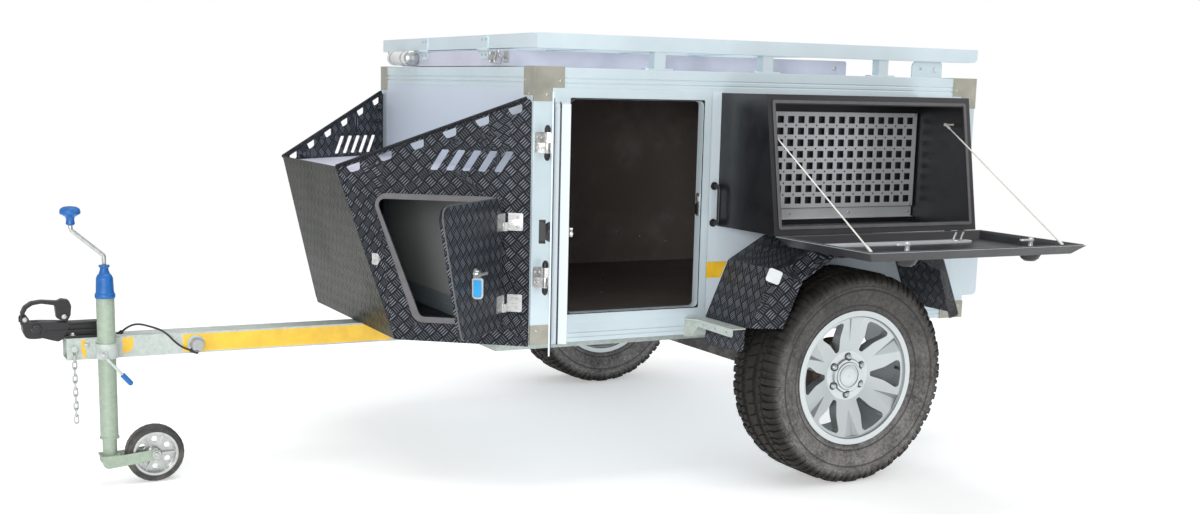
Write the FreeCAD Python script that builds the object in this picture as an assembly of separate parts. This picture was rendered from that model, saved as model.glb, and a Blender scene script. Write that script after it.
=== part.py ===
import FreeCAD, Part
import math
import os

V = FreeCAD.Vector

# The origin is the centre of the tow ball in the coupling. +X points to the rear,
# +Y to the trailer's right and +Z up. Sizes are in millimetres.

# Heights, with those named up measured over the ground
ball_height = 535.0

# Box body
body_front = 1507.0
body_length = 1900.0
body_width = 1540.0
body_height = 936.0
body_clearance = 527.0
rail = 68.0
wall = 30.0
floor_board = 40.0
groove_deep = 3.0
groove_high = 5.0
groove_rise = 14.0
groove_pitch = 16.0
plate = 2.5
plate_long = 112.0
plate_wide = 80.0
plate_high = 113.0
plate_foot = 65.0

# Side doors
door_from_front = 138.0
door_wide = 520.0
door_sill = 101.0
door_top_gap = 104.0
door_trim = 5.0
door_jamb = 34.0
door_overlap = 26.0
door_skin = 5.0
door_gap = 5.0
door_block = 50.0
door_free_gap = 15.0
door_corner = 18.0
door_angle = 115.7
hinge_out = 30.0
hinge_ahead = 74.0
hinge_from_sill = 96.0
hinge_from_top = 181.0
hinge_high = 70.0
hinge_leaf = 3.0
handle_from_edge = 75.0
handle_under_middle = 23.5
grab_out = 38.0
grab_long = 132.0
knuckle_radius = 9.0
pin_radius = 4.0
pin_clearance = 0.05

# Nose box
nose_length = 548.0
nose_front_half = 338.0
nose_side_step = 15.0
nose_front_up = 1110.0
nose_below_roof = 98.0
nose_under_body = 10.0
nose_rake = 170.0
nose_corner = 40.0
deck_drop = 14.0
sheet = 3.0
bead_radius = 7.0
slot_long = 52.0
slot_high = 25.0
slot_drop = 13.0
slot_count = 6
bar_count = 5
bar_first = 335.0
bar_pitch = 56.0
bar_wide = 27.0
bar_high = 70.0
bar_rise = 44.0

# Nose hatch, in the plane of the wing
hatch_front = 125.0
hatch_top_up = 1026.0
hatch_low_up = 583.0
hatch_from_rear = 100.0
hatch_radius = 42.0
hatch_gap = 6.0
hatch_thick = 16.0
seal_wide = 20.0
seal_thick = 5.5
hatch_angle = 80.0
hatch_hinges_up = (636.0, 914.0)
hatch_hinge_high = 60.0
hatch_knuckle = 6.0
hatch_pin = 3.0

# Side boxes over the wheels
box_from_back = 282.0
box_from_jamb = 43.0
box_low_up = 917.0
box_below_roof = 73.0
box_deep_top = 284.0
box_deep_low = 365.0
box_border = 33.0
mesh_columns = 18
mesh_rows = 8
lid_deep = 30.0
lid_bevel = 34.0
lid_side = 8.0
lid_gap = 6.0
lid_skin = 4.0
lid_long = 515.0
lid_axis_out = 15.0
lid_axis_drop = 9.0
stay_radius = 3.0
stay_in = 68.0
stay_drop = 98.0
lid_knuckle = 6.0
lid_hinge_long = 60.0
lid_hinge_in = 90.0
latch_in = 430.0
latch_places = (0.23, 0.82)
latch_post = 8.0
latch_cup = 36.0
latch_high = 48.0
rail_in = 105.0
rail_wide = 60.0

# Wheels
wheel_x = 2656.0
wheel_out = 206.0
tyre_radius = 387.5
tyre_half = 131.5
tyre_lugs = 28
lug_share = 0.6
lug_deep = 8.5
lug_long = 62.0
tread_rib = 22.0
rim_radius = 229.0
rim_half = 101.0
flange_radius = 245.0
rim_wall = 10.0
hub_face = 30.0
stud_circle = 69.9
stud_count = 6
spoke_count = 6
spoke_face = 56.0
pocket_radius = 15.0
bore_radius = 31.9
seat = 0.3
run_gap = 0.1
stub_radius = 22.0

# Fenders
fender_wide = 295.0
arm_long = 266.0
arm_angle = 57.0
arm_drop = 30.0
fender_lip = 50.0
fender_ahead = 449.0
fender_high = 492.5
fender_foot_share = 0.411
fender_sheet = 3.0

# Running gear
drawbar_front = 95.0
drawbar_back = 2350.0
drawbar_wide = 100.0
drawbar_high = 75.0
drawbar_under_body = 17.0
tube_wall = 4.0
coupling_half = 31.0
cup_radius = 25.2
handle_x = -34.0
handle_z = 46.0
handle_pin = 6.0
chassis_half = 450.0
chassis_tube_wide = 50.0
chassis_tube_high = 75.0
axle_tube = 80.0
axle_ahead = 150.0

# Safety chain
chain_links = 11
chain_wire = 3.0
chain_sides = 5
chain_long = 15.0
chain_wide = 6.8
chain_back = 22.0
chain_out = 14.0
chain_drop = 42.0
chain_bolt = 2.9

# Jockey wheel
jockey_x = 218.0
jockey_tube_radius = 30.0
jockey_inner_radius = 24.0
jockey_gap = 26.0
jockey_side = 7.0
jockey_tube_top_up = 655.0
jockey_tube_low_up = 165.0
jockey_wheel_radius = 100.0
jockey_wheel_half = 27.0
jockey_trail = 150.0
jockey_tyre_turns = 28
jockey_tread = 22.0
jockey_pin = 8.0
jockey_cap_high = 112.0
crank_bend_up = 800.0
crank_top_up = 905.0
fork_top_up = 107.7
jockey_throw = 104.0
jockey_ribs = 6

# Lead and its socket on the drawbar
socket_x = 531.0
socket_radius = 30.0
lead_radius = 3.5

# Roof rack
rack_over_roof = 62.0
rack_setback = 8.0
post_shares = (0.253, 0.489, 0.763)
rear_post_share = 0.842
tray_long_share = 0.758
tray_half = 535.0
hinge_straps = (-328.0, 272.0)
tail_long = 71.0
tail_rise = 85.0
tail_high = 190.0
tail_wide = 190.0
rack_tube = 50.0
rack_slat_count = 6


def box(x0, x1, y0, y1, z0, z1):
    return Part.makeBox(x1 - x0, y1 - y0, z1 - z0, V(x0, y0, z0))


def joined(shapes):
    whole = shapes[0]
    if len(shapes) > 1:
        whole = whole.fuse(shapes[1:])
    return whole.removeSplitter()


def rod(start, end, radius):
    line = V(*end) - V(*start)
    return Part.makeCylinder(radius, line.Length, V(*start), line)


def mirrored(shape):
    return shape.mirror(V(0, 0, 0), V(0, 1, 0))


def pair(shape):
    """A left piece and its mirror image on the right."""
    return Part.makeCompound([shape, mirrored(shape)])


def outline(points, radii):
    """A closed wire in the local XY plane whose corners are rounded by the given radii."""
    count = len(points)
    if not isinstance(radii, (list, tuple)):
        radii = [radii] * count
    corners = []
    for i, point in enumerate(points):
        here = V(point[0], point[1], 0)
        back = V(points[i - 1][0], points[i - 1][1], 0) - here
        ahead = V(points[(i + 1) % count][0], points[(i + 1) % count][1], 0) - here
        back.normalize()
        ahead.normalize()
        if radii[i] == 0:
            corners.append((here, None, here))
            continue
        half_angle = back.getAngle(ahead) / 2
        reach = radii[i] / math.tan(half_angle)
        middle = back + ahead
        middle.normalize()
        centre = here + middle * (radii[i] / math.sin(half_angle))
        corners.append((here + back * reach, centre - middle * radii[i], here + ahead * reach))
    edges = []
    for i, corner in enumerate(corners):
        if corner[1] is not None:
            edges.append(Part.Arc(corner[0], corner[1], corner[2]).toShape())
        following = corners[(i + 1) % count][0]
        if corner[2].distanceToPoint(following) > 1e-6:
            edges.append(Part.LineSegment(corner[2], following).toShape())
    return Part.Wire(edges)


def slab(points, radii, base, thickness):
    """A plate of the given outline, from the local height base upwards."""
    wire = outline(points, radii)
    wire.translate(V(0, 0, base))
    return Part.Face(wire).extrude(V(0, 0, thickness))


def rectangle(x0, x1, z0, z1):
    return [(x0, z0), (x1, z0), (x1, z1), (x0, z1)]


def placed(shape, origin, along, upward):
    """Local X goes along, local Y upward and local Z along their cross product."""
    a = V(*along)
    a.normalize()
    u = V(*upward)
    u.normalize()
    n = a.cross(u)
    matrix = FreeCAD.Matrix(a.x, u.x, n.x, origin[0], a.y, u.y, n.y, origin[1], a.z, u.z, n.z, origin[2], 0, 0, 0, 1)
    return shape.transformed(matrix)


def on_left_side(shape):
    """Local (x, z, outward) of the left side wall goes to its place on the body."""
    return placed(shape, (0, -body_width / 2, 0), (1, 0, 0), (0, 0, 1))


def upright(points, radii, y_near, y_far):
    """A plate whose outline is given in X and Z, between two sideways places."""
    plate_shape = slab(points, radii, 0, y_far - y_near)
    return placed(plate_shape, (0, y_far, 0), (1, 0, 0), (0, 0, 1))


def crosswise(points, radii, x0, x1):
    """A plate whose outline is given in Y and Z, between two lengthwise places."""
    plate_shape = slab(points, radii, 0, x1 - x0)
    return placed(plate_shape, (x0, 0, 0), (0, 1, 0), (0, 0, 1))


def turned(section, centre):
    """A section of (radius, sideways) points turned about a sideways axis through the centre."""
    wire = Part.makePolygon([V(r, 0, s) for r, s in section] + [V(section[0][0], 0, section[0][1])])
    shape = Part.Face(wire).revolve(V(0, 0, 0), V(0, 0, 1), 360)
    shape.rotate(V(0, 0, 0), V(1, 0, 0), -90)
    shape.translate(V(*centre))
    return shape


def turned_up(section, centre):
    """A section of (radius, height) points turned about a vertical axis through the centre."""
    wire = Part.makePolygon([V(r, 0, z) for r, z in section] + [V(section[0][0], 0, section[0][1])])
    shape = Part.Face(wire).revolve(V(0, 0, 0), V(0, 0, 1), 360)
    shape.translate(V(*centre))
    return shape


def faceted(faces):
    """A solid closed by flat faces, each given by its corners."""
    made = [Part.Face(Part.makePolygon([V(*p) for p in face] + [V(*face[0])])) for face in faces]
    shell = Part.makeShell(made)
    shell.sewShape()
    solid = Part.makeSolid(shell)
    if solid.Volume < 0:
        solid.reverse()
    return solid


def bent_rod(points, radius, reach=None):
    """A round rod along straight runs joined by tangent arcs, and the radii of its bends."""
    corners = [V(*p) for p in points]
    edges = []
    bends = []
    start = corners[0]
    for back, here, ahead in zip(corners, corners[1:], corners[2:]):
        run_in = back - here
        run_out = ahead - here
        shorter = min(run_in.Length, run_out.Length)
        run_in.normalize()
        run_out.normalize()
        half_turn = (math.pi - run_in.getAngle(run_out)) / 2
        length = 0.45 * shorter if reach is None else reach
        bend = length / math.tan(half_turn)
        middle = run_in + run_out
        middle.normalize()
        deep = bend / math.cos(half_turn) - bend
        end = here + run_in * length
        edges.append(Part.LineSegment(start, end).toShape())
        start = here + run_out * length
        edges.append(Part.Arc(end, here + middle * deep, start).toShape())
        bends.append(round(bend, 1))
    edges.append(Part.LineSegment(start, corners[-1]).toShape())
    round_end = Part.Wire([Part.Circle(corners[0], corners[1] - corners[0], radius).toShape()])
    return Part.Wire(edges).makePipeShell([round_end], True, False), bends


ground = -ball_height
body_low = ground + body_clearance
body_back = body_front + body_length
body_half = body_width / 2
body_high = body_low + body_height
door_x0 = body_front + door_from_front
door_x1 = door_x0 + door_wide
door_z0 = body_low + door_sill
door_z1 = body_high - door_top_gap
wheel_z = ground + tyre_radius
track_half = body_half + wheel_out
fender_front = wheel_x - fender_ahead
fender_low = wheel_z + fender_high * fender_foot_share
nose_low = body_low - nose_under_body
nose_rear_half = body_half - nose_side_step
nose_rear_high = body_high - nose_below_roof
drawbar_top = body_low - drawbar_under_body
box_high = body_high - box_below_roof
box_low = ground + box_low_up
box_x0 = door_x1 + door_jamb + box_from_jamb
box_x1 = body_back - box_from_back
box_length = box_x1 - box_x0
rack_low = body_high + rack_over_roof
nose_front_high = ground + nose_front_up
hatch_top = ground + hatch_top_up
hatch_low = ground + hatch_low_up
hatch_hinges = [ground + rise for rise in hatch_hinges_up]
jockey_tube_top = ground + jockey_tube_top_up
jockey_tube_low = ground + jockey_tube_low_up
crank_bend = ground + crank_bend_up
crank_top = ground + crank_top_up
fork_top = ground + fork_top_up
hinge_places = (door_z0 + hinge_from_sill, door_z1 - hinge_from_top)
door_face = body_half + door_trim + door_gap
jockey_y = -drawbar_wide / 2 - jockey_gap - jockey_tube_radius


# Box body

def body_frame():
    shell = box(body_front, body_back, -body_half, body_half, body_low, body_high)
    shell = shell.cut(box(body_front + wall, body_back - wall, -body_half + wall, body_half - wall,
                          body_low + wall, body_high - wall))
    inside_x = (body_front + rail, body_back - rail)
    inside_y = (-body_half + rail, body_half - rail)
    inside_z = (body_low + rail, body_high - rail)
    shell = shell.cut(box(body_front - 1, body_back + 1, *inside_y, *inside_z))
    shell = shell.cut(box(*inside_x, -body_half - 1, body_half + 1, *inside_z))
    shell = shell.cut(box(*inside_x, *inside_y, body_low - 1, body_high + 1))
    for line in range(2):
        for z in (body_low + groove_rise + line * groove_pitch,
                  body_high - rail + groove_rise + line * groove_pitch):
            ring = box(body_front - 1, body_back + 1, -body_half - 1, body_half + 1, z, z + groove_high)
            core = box(body_front + groove_deep, body_back - groove_deep, -body_half + groove_deep,
                       body_half - groove_deep, z, z + groove_high)
            shell = shell.cut(ring.cut(core))
    return shell


def corner_plates():
    """Thin pressed plates that wrap the eight corners of the frame."""
    body = box(body_front, body_back, -body_half, body_half, body_low, body_high)
    door_side = box(body_front + rail, body_back - rail, -body_half - plate - 1, -body_half,
                    body_low + rail, body_high - rail)
    plates = []
    for x, x_sign in ((body_front, 1), (body_back, -1)):
        for z, z_sign, high in ((body_high, -1, plate_high), (body_low, 1, plate_foot)):
            x_ends = sorted((x - plate * x_sign, x + plate_long * x_sign))
            z_ends = sorted((z - plate * z_sign, z + high * z_sign))
            block = box(*x_ends, -body_half - plate, -body_half + plate_wide, *z_ends)
            if x_sign > 0:
                block = block.cut(box(body_front - plate, body_front, -nose_rear_half - 10, 0, z_ends[0] - 1,
                                      nose_rear_high + 4))
            piece = block.cut(body).cut(door_side)
            plates += [piece, mirrored(piece)]
    return Part.makeCompound(plates)


def floor():
    board = box(body_front + wall, body_back - wall, -body_half + wall, body_half - wall,
                body_low + wall, body_low + wall + floor_board)
    pan = box(body_front + rail, body_back - rail, -body_half + rail, body_half - rail, body_low, body_low + wall)
    return joined([board, pan])


def roof():
    return box(body_front + rail, body_back - rail, -body_half + rail, body_half - rail,
               body_high - wall, body_high)


def end_wall(x):
    return box(x, x + wall, -body_half + rail, body_half - rail, body_low + rail, body_high - rail)


def frame_outer():
    return rectangle(body_front + rail, door_x1 + door_jamb, body_low + rail, body_high - rail)


def door_frame():
    outer = slab(frame_outer(), 0, -wall, wall + door_trim)
    inner = slab(rectangle(door_x0, door_x1, door_z0, door_z1), door_corner, -wall - 1, wall + door_trim + 2)
    return on_left_side(outer.cut(inner))


def side_wall():
    panel = slab(rectangle(door_x1 + door_jamb, body_back - rail, body_low + rail, body_high - rail), 0, -wall, wall)
    return on_left_side(panel)


# Doors: drawn shut, then swung to the angle in the photograph

hinge_x = door_x0 - door_overlap - hinge_ahead
hinge_y = -body_half - hinge_out


def swung(shape):
    """A door piece turned about the hinge line to where the photographed door stands."""
    return shape.rotate(V(hinge_x, hinge_y, 0), V(0, 0, 1), -door_angle)


def door():
    face = door_trim + door_gap
    skin = slab(rectangle(door_x0 - door_overlap, door_x1 + door_overlap, door_z0 - door_overlap,
                          door_z1 + door_overlap), door_corner + door_overlap, face, door_skin)
    block = slab(rectangle(door_x0 + 2 * door_gap, door_x1 - door_free_gap, door_z0 + 2 * door_gap,
                           door_z1 - 2 * door_gap), door_corner - door_gap, face - door_block, door_block)
    return on_left_side(joined([skin, block]))


def door_leaves():
    """The two hinge leaves that turn with the door, with the bores for their pins."""
    face = -door_face - door_skin
    leaves = []
    for z in hinge_places:
        middle = z + hinge_high / 2 + 0.5
        top = z + hinge_high
        leaf = upright(rectangle(hinge_x + knuckle_radius - 2, hinge_x + hinge_ahead + 75, z, top), [0, 12, 12, 0],
                       face - hinge_leaf, face)
        web = box(hinge_x, hinge_x + knuckle_radius, hinge_y - hinge_leaf / 2, hinge_y + hinge_leaf, middle, top)
        arm = box(hinge_x + knuckle_radius - 2, hinge_x + knuckle_radius + 2, hinge_y - hinge_leaf / 2, face,
                  middle, top)
        knuckle = rod((hinge_x, hinge_y, middle), (hinge_x, hinge_y, top), knuckle_radius)
        bore = rod((hinge_x, hinge_y, middle - 1), (hinge_x, hinge_y, top - 10), pin_radius + pin_clearance)
        leaves.append(joined([leaf, web, arm, knuckle]).cut(bore))
    return Part.makeCompound(leaves)


def door_handle():
    """A round escutcheon with a turning bar outside."""
    x = door_x1 - handle_from_edge
    z = (door_z0 + door_z1) / 2 - handle_under_middle
    face = -door_face - door_skin
    boss = turned([(0, 0), (30, 0), (30, -5), (24, -14), (0, -14)], (x, face, z))
    bar = upright(rectangle(x - 11, x + 11, z - 36, z + 36), 10.5, face - 34, face - 14)
    return joined([boss, bar])


def door_latch():
    """The inside handle of the open door, with the bolt that it draws."""
    x = door_x1 - handle_from_edge
    z = (door_z0 + door_z1) / 2 - handle_under_middle
    back = -door_face + door_block
    hub_piece = rod((x, back, z), (x, back + 12, z), 14)
    bolt = rod((x, back + 8, z), (x + 42, back + 8, z), 5)
    return joined([hub_piece, bolt])


def hinge_bases():
    """The leaves on the door post, with the pins."""
    bases = []
    for z in hinge_places:
        middle = z + hinge_high / 2 - 0.5
        leaf = upright(rectangle(hinge_x - 34, hinge_x + 27, z, z + hinge_high), [8, 0, 0, 8],
                       -body_half - hinge_leaf, -body_half)
        arm = box(hinge_x - knuckle_radius, hinge_x - knuckle_radius + 5, hinge_y, -body_half, z, middle)
        knuckle = rod((hinge_x, hinge_y, z), (hinge_x, hinge_y, middle), knuckle_radius)
        pin = rod((hinge_x, hinge_y, z), (hinge_x, hinge_y, z + hinge_high - 12), pin_radius)
        bases.append(joined([leaf, arm, knuckle, pin]))
    return bases


def grab_handles():
    """The looped grab handle behind the left doorway, and its twin on the right."""
    x = door_x1 + door_jamb + 23
    y = -body_half - grab_out
    z0 = (door_z0 + door_z1) / 2 - 65
    z1 = z0 + grab_long
    loop, bends = bent_rod([(x, -body_half - seat, z0), (x, y, z0), (x, y, z1), (x, -body_half - seat, z1)], 7, 14)
    feet = [rod((x, -body_half - seat, z), (x, -body_half - 6, z), 14) for z in (z0, z1)]
    return pair(joined([loop] + feet))


# Nose box

wing_slope = math.atan2(nose_rear_half - nose_front_half, nose_length)
wing_long = nose_length / math.cos(wing_slope)
nose_front = body_front - nose_length
wing_along = (math.cos(wing_slope), -math.sin(wing_slope), 0)
wing_rise = (nose_rear_high - nose_front_high) / wing_long
wing_inside = sheet / math.cos(wing_slope) + seat


def on_left_wing(shape):
    """Local (along, z, outward) of the left wing of the nose box."""
    return placed(shape, (nose_front, -nose_front_half, 0), wing_along, (0, 0, 1))


def hatch_points(grow):
    rake = nose_rake / math.cos(wing_slope) / (nose_front_high - nose_low)
    x1 = wing_long - hatch_from_rear
    foot = hatch_front + (hatch_top - hatch_low) * rake
    return [(foot - grow, hatch_low - grow), (x1 + grow, hatch_low - grow), (x1 + grow, hatch_top + grow),
            (hatch_front - grow, hatch_top + grow)]


def nose_wing():
    """A wing of the nose box: folded edge, grip holes, a row of slanted bars and the hatchway cut out."""
    foot = nose_rake / math.cos(wing_slope)
    points = [(foot, nose_low), (wing_long, nose_low), (wing_long, nose_rear_high), (0, nose_front_high)]
    panel = slab(points, [nose_corner, 0, 18, 0], -sheet, sheet)
    panel = panel.cut(slab(hatch_points(-seal_wide), hatch_radius - seal_wide, -sheet - 1, sheet + 2))
    lean = math.degrees(math.atan(wing_rise))
    half = slot_long / 2
    for i in range(slot_count):
        s = wing_long * (0.09 + 0.165 * i)
        hole = slab([(-half, 0), (-half + 8, -slot_high), (half - 8, -slot_high), (half, 0)], [3, 10, 10, 3],
                    -sheet - 1, sheet + 2)
        hole.rotate(V(0, 0, 0), V(0, 0, 1), lean)
        hole.translate(V(s, nose_front_high + s * wing_rise - slot_drop, 0))
        panel = panel.cut(hole)
    for i in range(bar_count):
        s = bar_first + bar_pitch * i
        bar = [(s, nose_front_high), (s + bar_wide, nose_front_high),
               (s + bar_wide + bar_rise, nose_front_high + bar_high), (s + bar_rise, nose_front_high + bar_high)]
        panel = panel.cut(slab(bar, 4, -sheet - 1, sheet + 2))
    bead_end = wing_long - 18
    bead = rod((0, nose_front_high, -sheet / 2), (bead_end, nose_front_high + bead_end * wing_rise, -sheet / 2),
               bead_radius)
    ends = slab(rectangle(0, wing_long, nose_front_high - 40, nose_rear_high + 60), 0, -40, 80)
    panel = joined([panel, bead.common(ends)])
    behind = box(body_front, body_front + 60, -body_half - 60, 0, ground, body_high)
    return on_left_wing(panel).cut(behind)


def nose_half_at(x):
    """Half the width between the wings at a lengthwise place."""
    return nose_front_half + (x - nose_front) * math.tan(wing_slope) - wing_inside


def nose_plate(x0, z):
    """A level sheet between the wings, from x0 back to the body."""
    points = [(x0, -nose_half_at(x0)), (body_front, -nose_half_at(body_front)),
              (body_front, nose_half_at(body_front)), (x0, nose_half_at(x0))]
    return slab(points, 0, z, sheet)


def nose_front_panel():
    """The raked front sheet between the wings."""
    foot = nose_half_at(nose_front + nose_rake)
    top = nose_half_at(nose_front) - bead_radius / 2
    long = math.hypot(nose_rake, nose_front_high - nose_low)
    points = [(-top, 0), (-foot, -long), (foot, -long), (top, 0)]
    panel = slab(points, 0, -sheet, sheet)
    down = (-nose_rake, 0, nose_front_high - nose_low)
    return placed(panel, (nose_front, 0, nose_front_high), (0, -1, 0), down)


def nose_deck():
    lean = nose_rake / (nose_front_high - nose_low)
    return nose_plate(nose_front + sheet + (deck_drop + sheet) * lean + seat, nose_front_high - deck_drop - sheet)


def nose_floor():
    return nose_plate(nose_front + nose_rake + sheet, nose_low)


def hatch_seal():
    ring = slab(hatch_points(0), hatch_radius, 0, seal_thick)
    hole = slab(hatch_points(-seal_wide), hatch_radius - seal_wide, -1, seal_thick + 2)
    return on_left_wing(ring.cut(hole))


hatch_axis_along = wing_long - hatch_from_rear + 14
hatch_face = hatch_gap + seal_thick + hatch_thick


def hatch():
    return on_left_wing(slab(hatch_points(0), hatch_radius, hatch_face - hatch_thick, hatch_thick))


def hatch_leaves():
    leaves = []
    along = hatch_axis_along
    for z in hatch_hinges:
        middle = z + hatch_hinge_high / 2
        top = z + hatch_hinge_high
        leaf = slab(rectangle(along - 52, along, z, top), [6, 0, 0, 6], hatch_face, hinge_leaf)
        knuckle = rod((along, middle + 0.5, hatch_face), (along, top, hatch_face), hatch_knuckle)
        bore = rod((along, middle - 1, hatch_face), (along, top - 6, hatch_face), hatch_pin + pin_clearance)
        low = slab(rectangle(along - 8, along + 9, z - 1, middle + 0.5), 0, hatch_face - 12, 24)
        leaves.append(on_left_wing(joined([leaf.cut(low), knuckle]).cut(bore)))
    return Part.makeCompound(leaves)


def hatch_bases():
    bases = []
    along = hatch_axis_along
    for z in hatch_hinges:
        middle = z + hatch_hinge_high / 2 - 0.5
        foot = slab(rectangle(along + 10, along + 62, z, z + hatch_hinge_high), [0, 6, 6, 0], 0, hinge_leaf)
        riser = slab(rectangle(along + 10, along + 13, z, middle), 0, 0, hatch_face + hinge_leaf)
        neck = slab(rectangle(along, along + 13, z, middle), 0, hatch_face, hinge_leaf)
        knuckle = rod((along, z, hatch_face), (along, middle, hatch_face), hatch_knuckle)
        pin = rod((along, z, hatch_face), (along, z + hatch_hinge_high - 8, hatch_face), hatch_pin)
        bases.append(on_left_wing(joined([foot, riser, neck, knuckle, pin])))
    return bases


def hatch_pivot():
    """The hatch's hinge line as a point in plan."""
    x = nose_front + hatch_axis_along * math.cos(wing_slope) - hatch_face * math.sin(wing_slope)
    y = -nose_front_half - hatch_axis_along * math.sin(wing_slope) - hatch_face * math.cos(wing_slope)
    return x, y


def opened_hatch(shape):
    x, y = hatch_pivot()
    return shape.rotate(V(x, y, 0), V(0, 0, 1), hatch_angle)


# Side boxes

def side_section(inset, x0, x1):
    """The side box's section, deeper at its foot, between two lengthwise places."""
    points = [V(x0, -body_half, box_low + inset), V(x0, -body_half - box_deep_low + inset, box_low + inset),
              V(x0, -body_half - box_deep_top + inset, box_high - inset), V(x0, -body_half, box_high - inset)]
    return Part.Face(Part.makePolygon(points + [points[0]])).extrude(V(x1 - x0, 0, 0))


def side_box():
    outer = side_section(0, box_x0, box_x1)
    inner = side_section(sheet, box_x0 + sheet, box_x1 - sheet)
    inner = inner.cut(box(box_x0, box_x1, -body_half - sheet, -body_half + 1, box_low, box_high))
    shell = outer.cut(inner)
    mouth = box(box_x0 + box_border, box_x1 - box_border, -body_half - 500, -body_half - box_deep_top + 60,
                box_low + box_border, box_high - box_border)
    return joined([shell.cut(mouth)] + lid_hinge_bases())


def lid_hinge_places():
    """The lengthwise middle of each of the lid's two hinges."""
    return (box_x0 + lid_hinge_in, box_x1 - lid_hinge_in)


def lid_hinge_bases():
    """Two knuckles under the box for each hinge, on a cranked leaf, with the pin between them."""
    bases = []
    half_leaf = lid_hinge_long / 2
    for middle in lid_hinge_places():
        ends = (middle - 1.5 * half_leaf, middle + 1.5 * half_leaf)
        for x0, x1 in ((ends[0], middle - half_leaf / 2 - seat), (middle + half_leaf / 2 + seat, ends[1])):
            bases.append(rod((x0, lid_y, lid_z), (x1, lid_y, lid_z), lid_knuckle))
            bases.append(box(x0, x1, lid_y, lid_y + 28, lid_z - lid_knuckle, lid_z - lid_knuckle + hinge_leaf))
            bases.append(box(x0, x1, lid_y + 25, lid_y + 28, lid_z - lid_knuckle, box_low))
        bases.append(rod((ends[0], lid_y, lid_z), (ends[1], lid_y, lid_z), hinge_leaf))
    return bases


def mesh_panel():
    """The pegboard at the back of the open box, with its grid of square holes."""
    z0 = box_low + 60
    z1 = box_high - 62
    y = -body_half - 14
    x0 = box_x0 + 30
    x1 = box_x1 - 12
    pitch_x = (x1 - x0 - 20) / mesh_columns
    pitch_z = (z1 - z0 - 14) / mesh_rows
    half_x = pitch_x * 0.31
    half_z = pitch_z * 0.3
    holes = []
    for i in range(mesh_columns):
        for j in range(mesh_rows):
            x = x0 + 10 + pitch_x * (i + 0.5)
            z = z0 + 7 + pitch_z * (j + 0.5)
            holes.append(box(x - half_x, x + half_x, y - 3, y + 1, z - half_z, z + half_z))
    pegs = []
    for x in (x0 + 12, x1 - 12):
        for z in (z0 + 5, z1 - 5):
            pegs.append(rod((x, y - 1, z), (x, -body_half - sheet - seat, z), 4))
    return joined([box(x0, x1, y - 2, y, z0, z1).cut(Part.makeCompound(holes))] + pegs)


face_lean = math.atan2(box_deep_low - box_deep_top, box_high - box_low)
lid_y = -body_half - box_deep_low - lid_axis_out
lid_z = box_low - lid_axis_drop
lid_swing = 90.0 + math.degrees(face_lean)
lid_x0 = box_x0 - lid_side
lid_x1 = box_x1 + lid_side
lid_rim = lid_z + lid_axis_out * math.cos(face_lean) - lid_gap - lid_axis_drop * math.sin(face_lean)
lid_floor = lid_rim - lid_deep + lid_skin


def lid_loop(inset, z):
    """The lid's outline at a height, drawn in by the inset."""
    points = [V(lid_x0 + inset, lid_y - 2 - inset, z), V(lid_x1 - inset, lid_y - 2 - inset, z),
              V(lid_x1 - inset, lid_y - lid_long + inset, z), V(lid_x0 + inset, lid_y - lid_long + inset, z)]
    return Part.makePolygon(points + [points[0]])


def lid():
    """The pan lid, drawn open: its rim is up and its bevelled back faces the ground."""
    outer = Part.makeLoft([lid_loop(0, lid_rim), lid_loop(lid_bevel, lid_rim - lid_deep)], True, True)
    inner = Part.makeLoft([lid_loop(lid_skin + 14, lid_rim + 0.01),
                           lid_loop(lid_bevel + lid_skin + 8, lid_floor)], True, True)
    pieces = [outer.cut(inner)]
    quarter = lid_hinge_long / 4
    reach = lid_hinge_long / 2
    for middle in lid_hinge_places():
        pieces.append(rod((middle - quarter, lid_y, lid_z), (middle + quarter, lid_y, lid_z), lid_knuckle))
        pieces.append(box(middle - quarter, middle + quarter, lid_y - 18, lid_y, lid_z - lid_knuckle,
                          lid_z - hinge_leaf))
    for share in latch_places:
        x = box_x0 + box_length * share
        cup = turned_up([(0, 0), (latch_cup, 0), (latch_cup, -4), (latch_cup * 0.8, -18), (latch_cup * 0.5, -26),
                         (0, -26)], (x, lid_y - latch_in, lid_rim - lid_deep + 1))
        pieces.append(cup)
    whole = joined(pieces)
    for middle in lid_hinge_places():
        whole = whole.cut(rod((middle - reach, lid_y, lid_z), (middle + reach, lid_y, lid_z),
                              hinge_leaf + pin_clearance))
    return whole


def lid_fittings():
    """Inside the lid: a flat rail with round ends and the two turning latches."""
    y = lid_y - rail_in
    half = rail_wide / 2
    x0 = box_x0 + 90
    x1 = box_x0 + box_length * 0.85
    low = lid_floor + seat
    pieces = [slab(rectangle(x0, x1, y - half, y + half), half - 1, low, 6)]
    for share in latch_places:
        x = box_x0 + box_length * share
        centre_y = lid_y - latch_in
        post = rod((x, centre_y, low), (x, centre_y, low + latch_high), latch_post)
        nut = rod((x, centre_y, low), (x, centre_y, low + 14), latch_post + 5)
        tongue = slab(rectangle(x - 46, x + 10, centre_y - 10, centre_y + 10), [9, 9, 9, 9], low + latch_high - 10, 5)
        pieces.append(joined([post, nut, tongue]))
    return Part.makeCompound(pieces)


def lid_stays():
    """The two thin stays that hold the open lid level, from the box's cheeks to the lid's outer corners."""
    stays = []
    top_y = -body_half - box_deep_top + stay_in
    top_z = box_high - stay_drop
    end_y = lid_y - lid_long + 62
    end_z = lid_z + stay_radius + 4
    for cheek, away in ((box_x0 + sheet, 1), (box_x1 - sheet, -1)):
        x = cheek + (box_border + stay_radius + 2) * away
        bolt = rod((cheek + seat * away, top_y, top_z), (x + 4 * away, top_y, top_z), stay_radius + 1)
        strut = rod((x, top_y, top_z), (x, end_y, end_z), stay_radius)
        stays.append(joined([bolt, strut]))
    return Part.makeCompound(stays)


# Fenders

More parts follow.
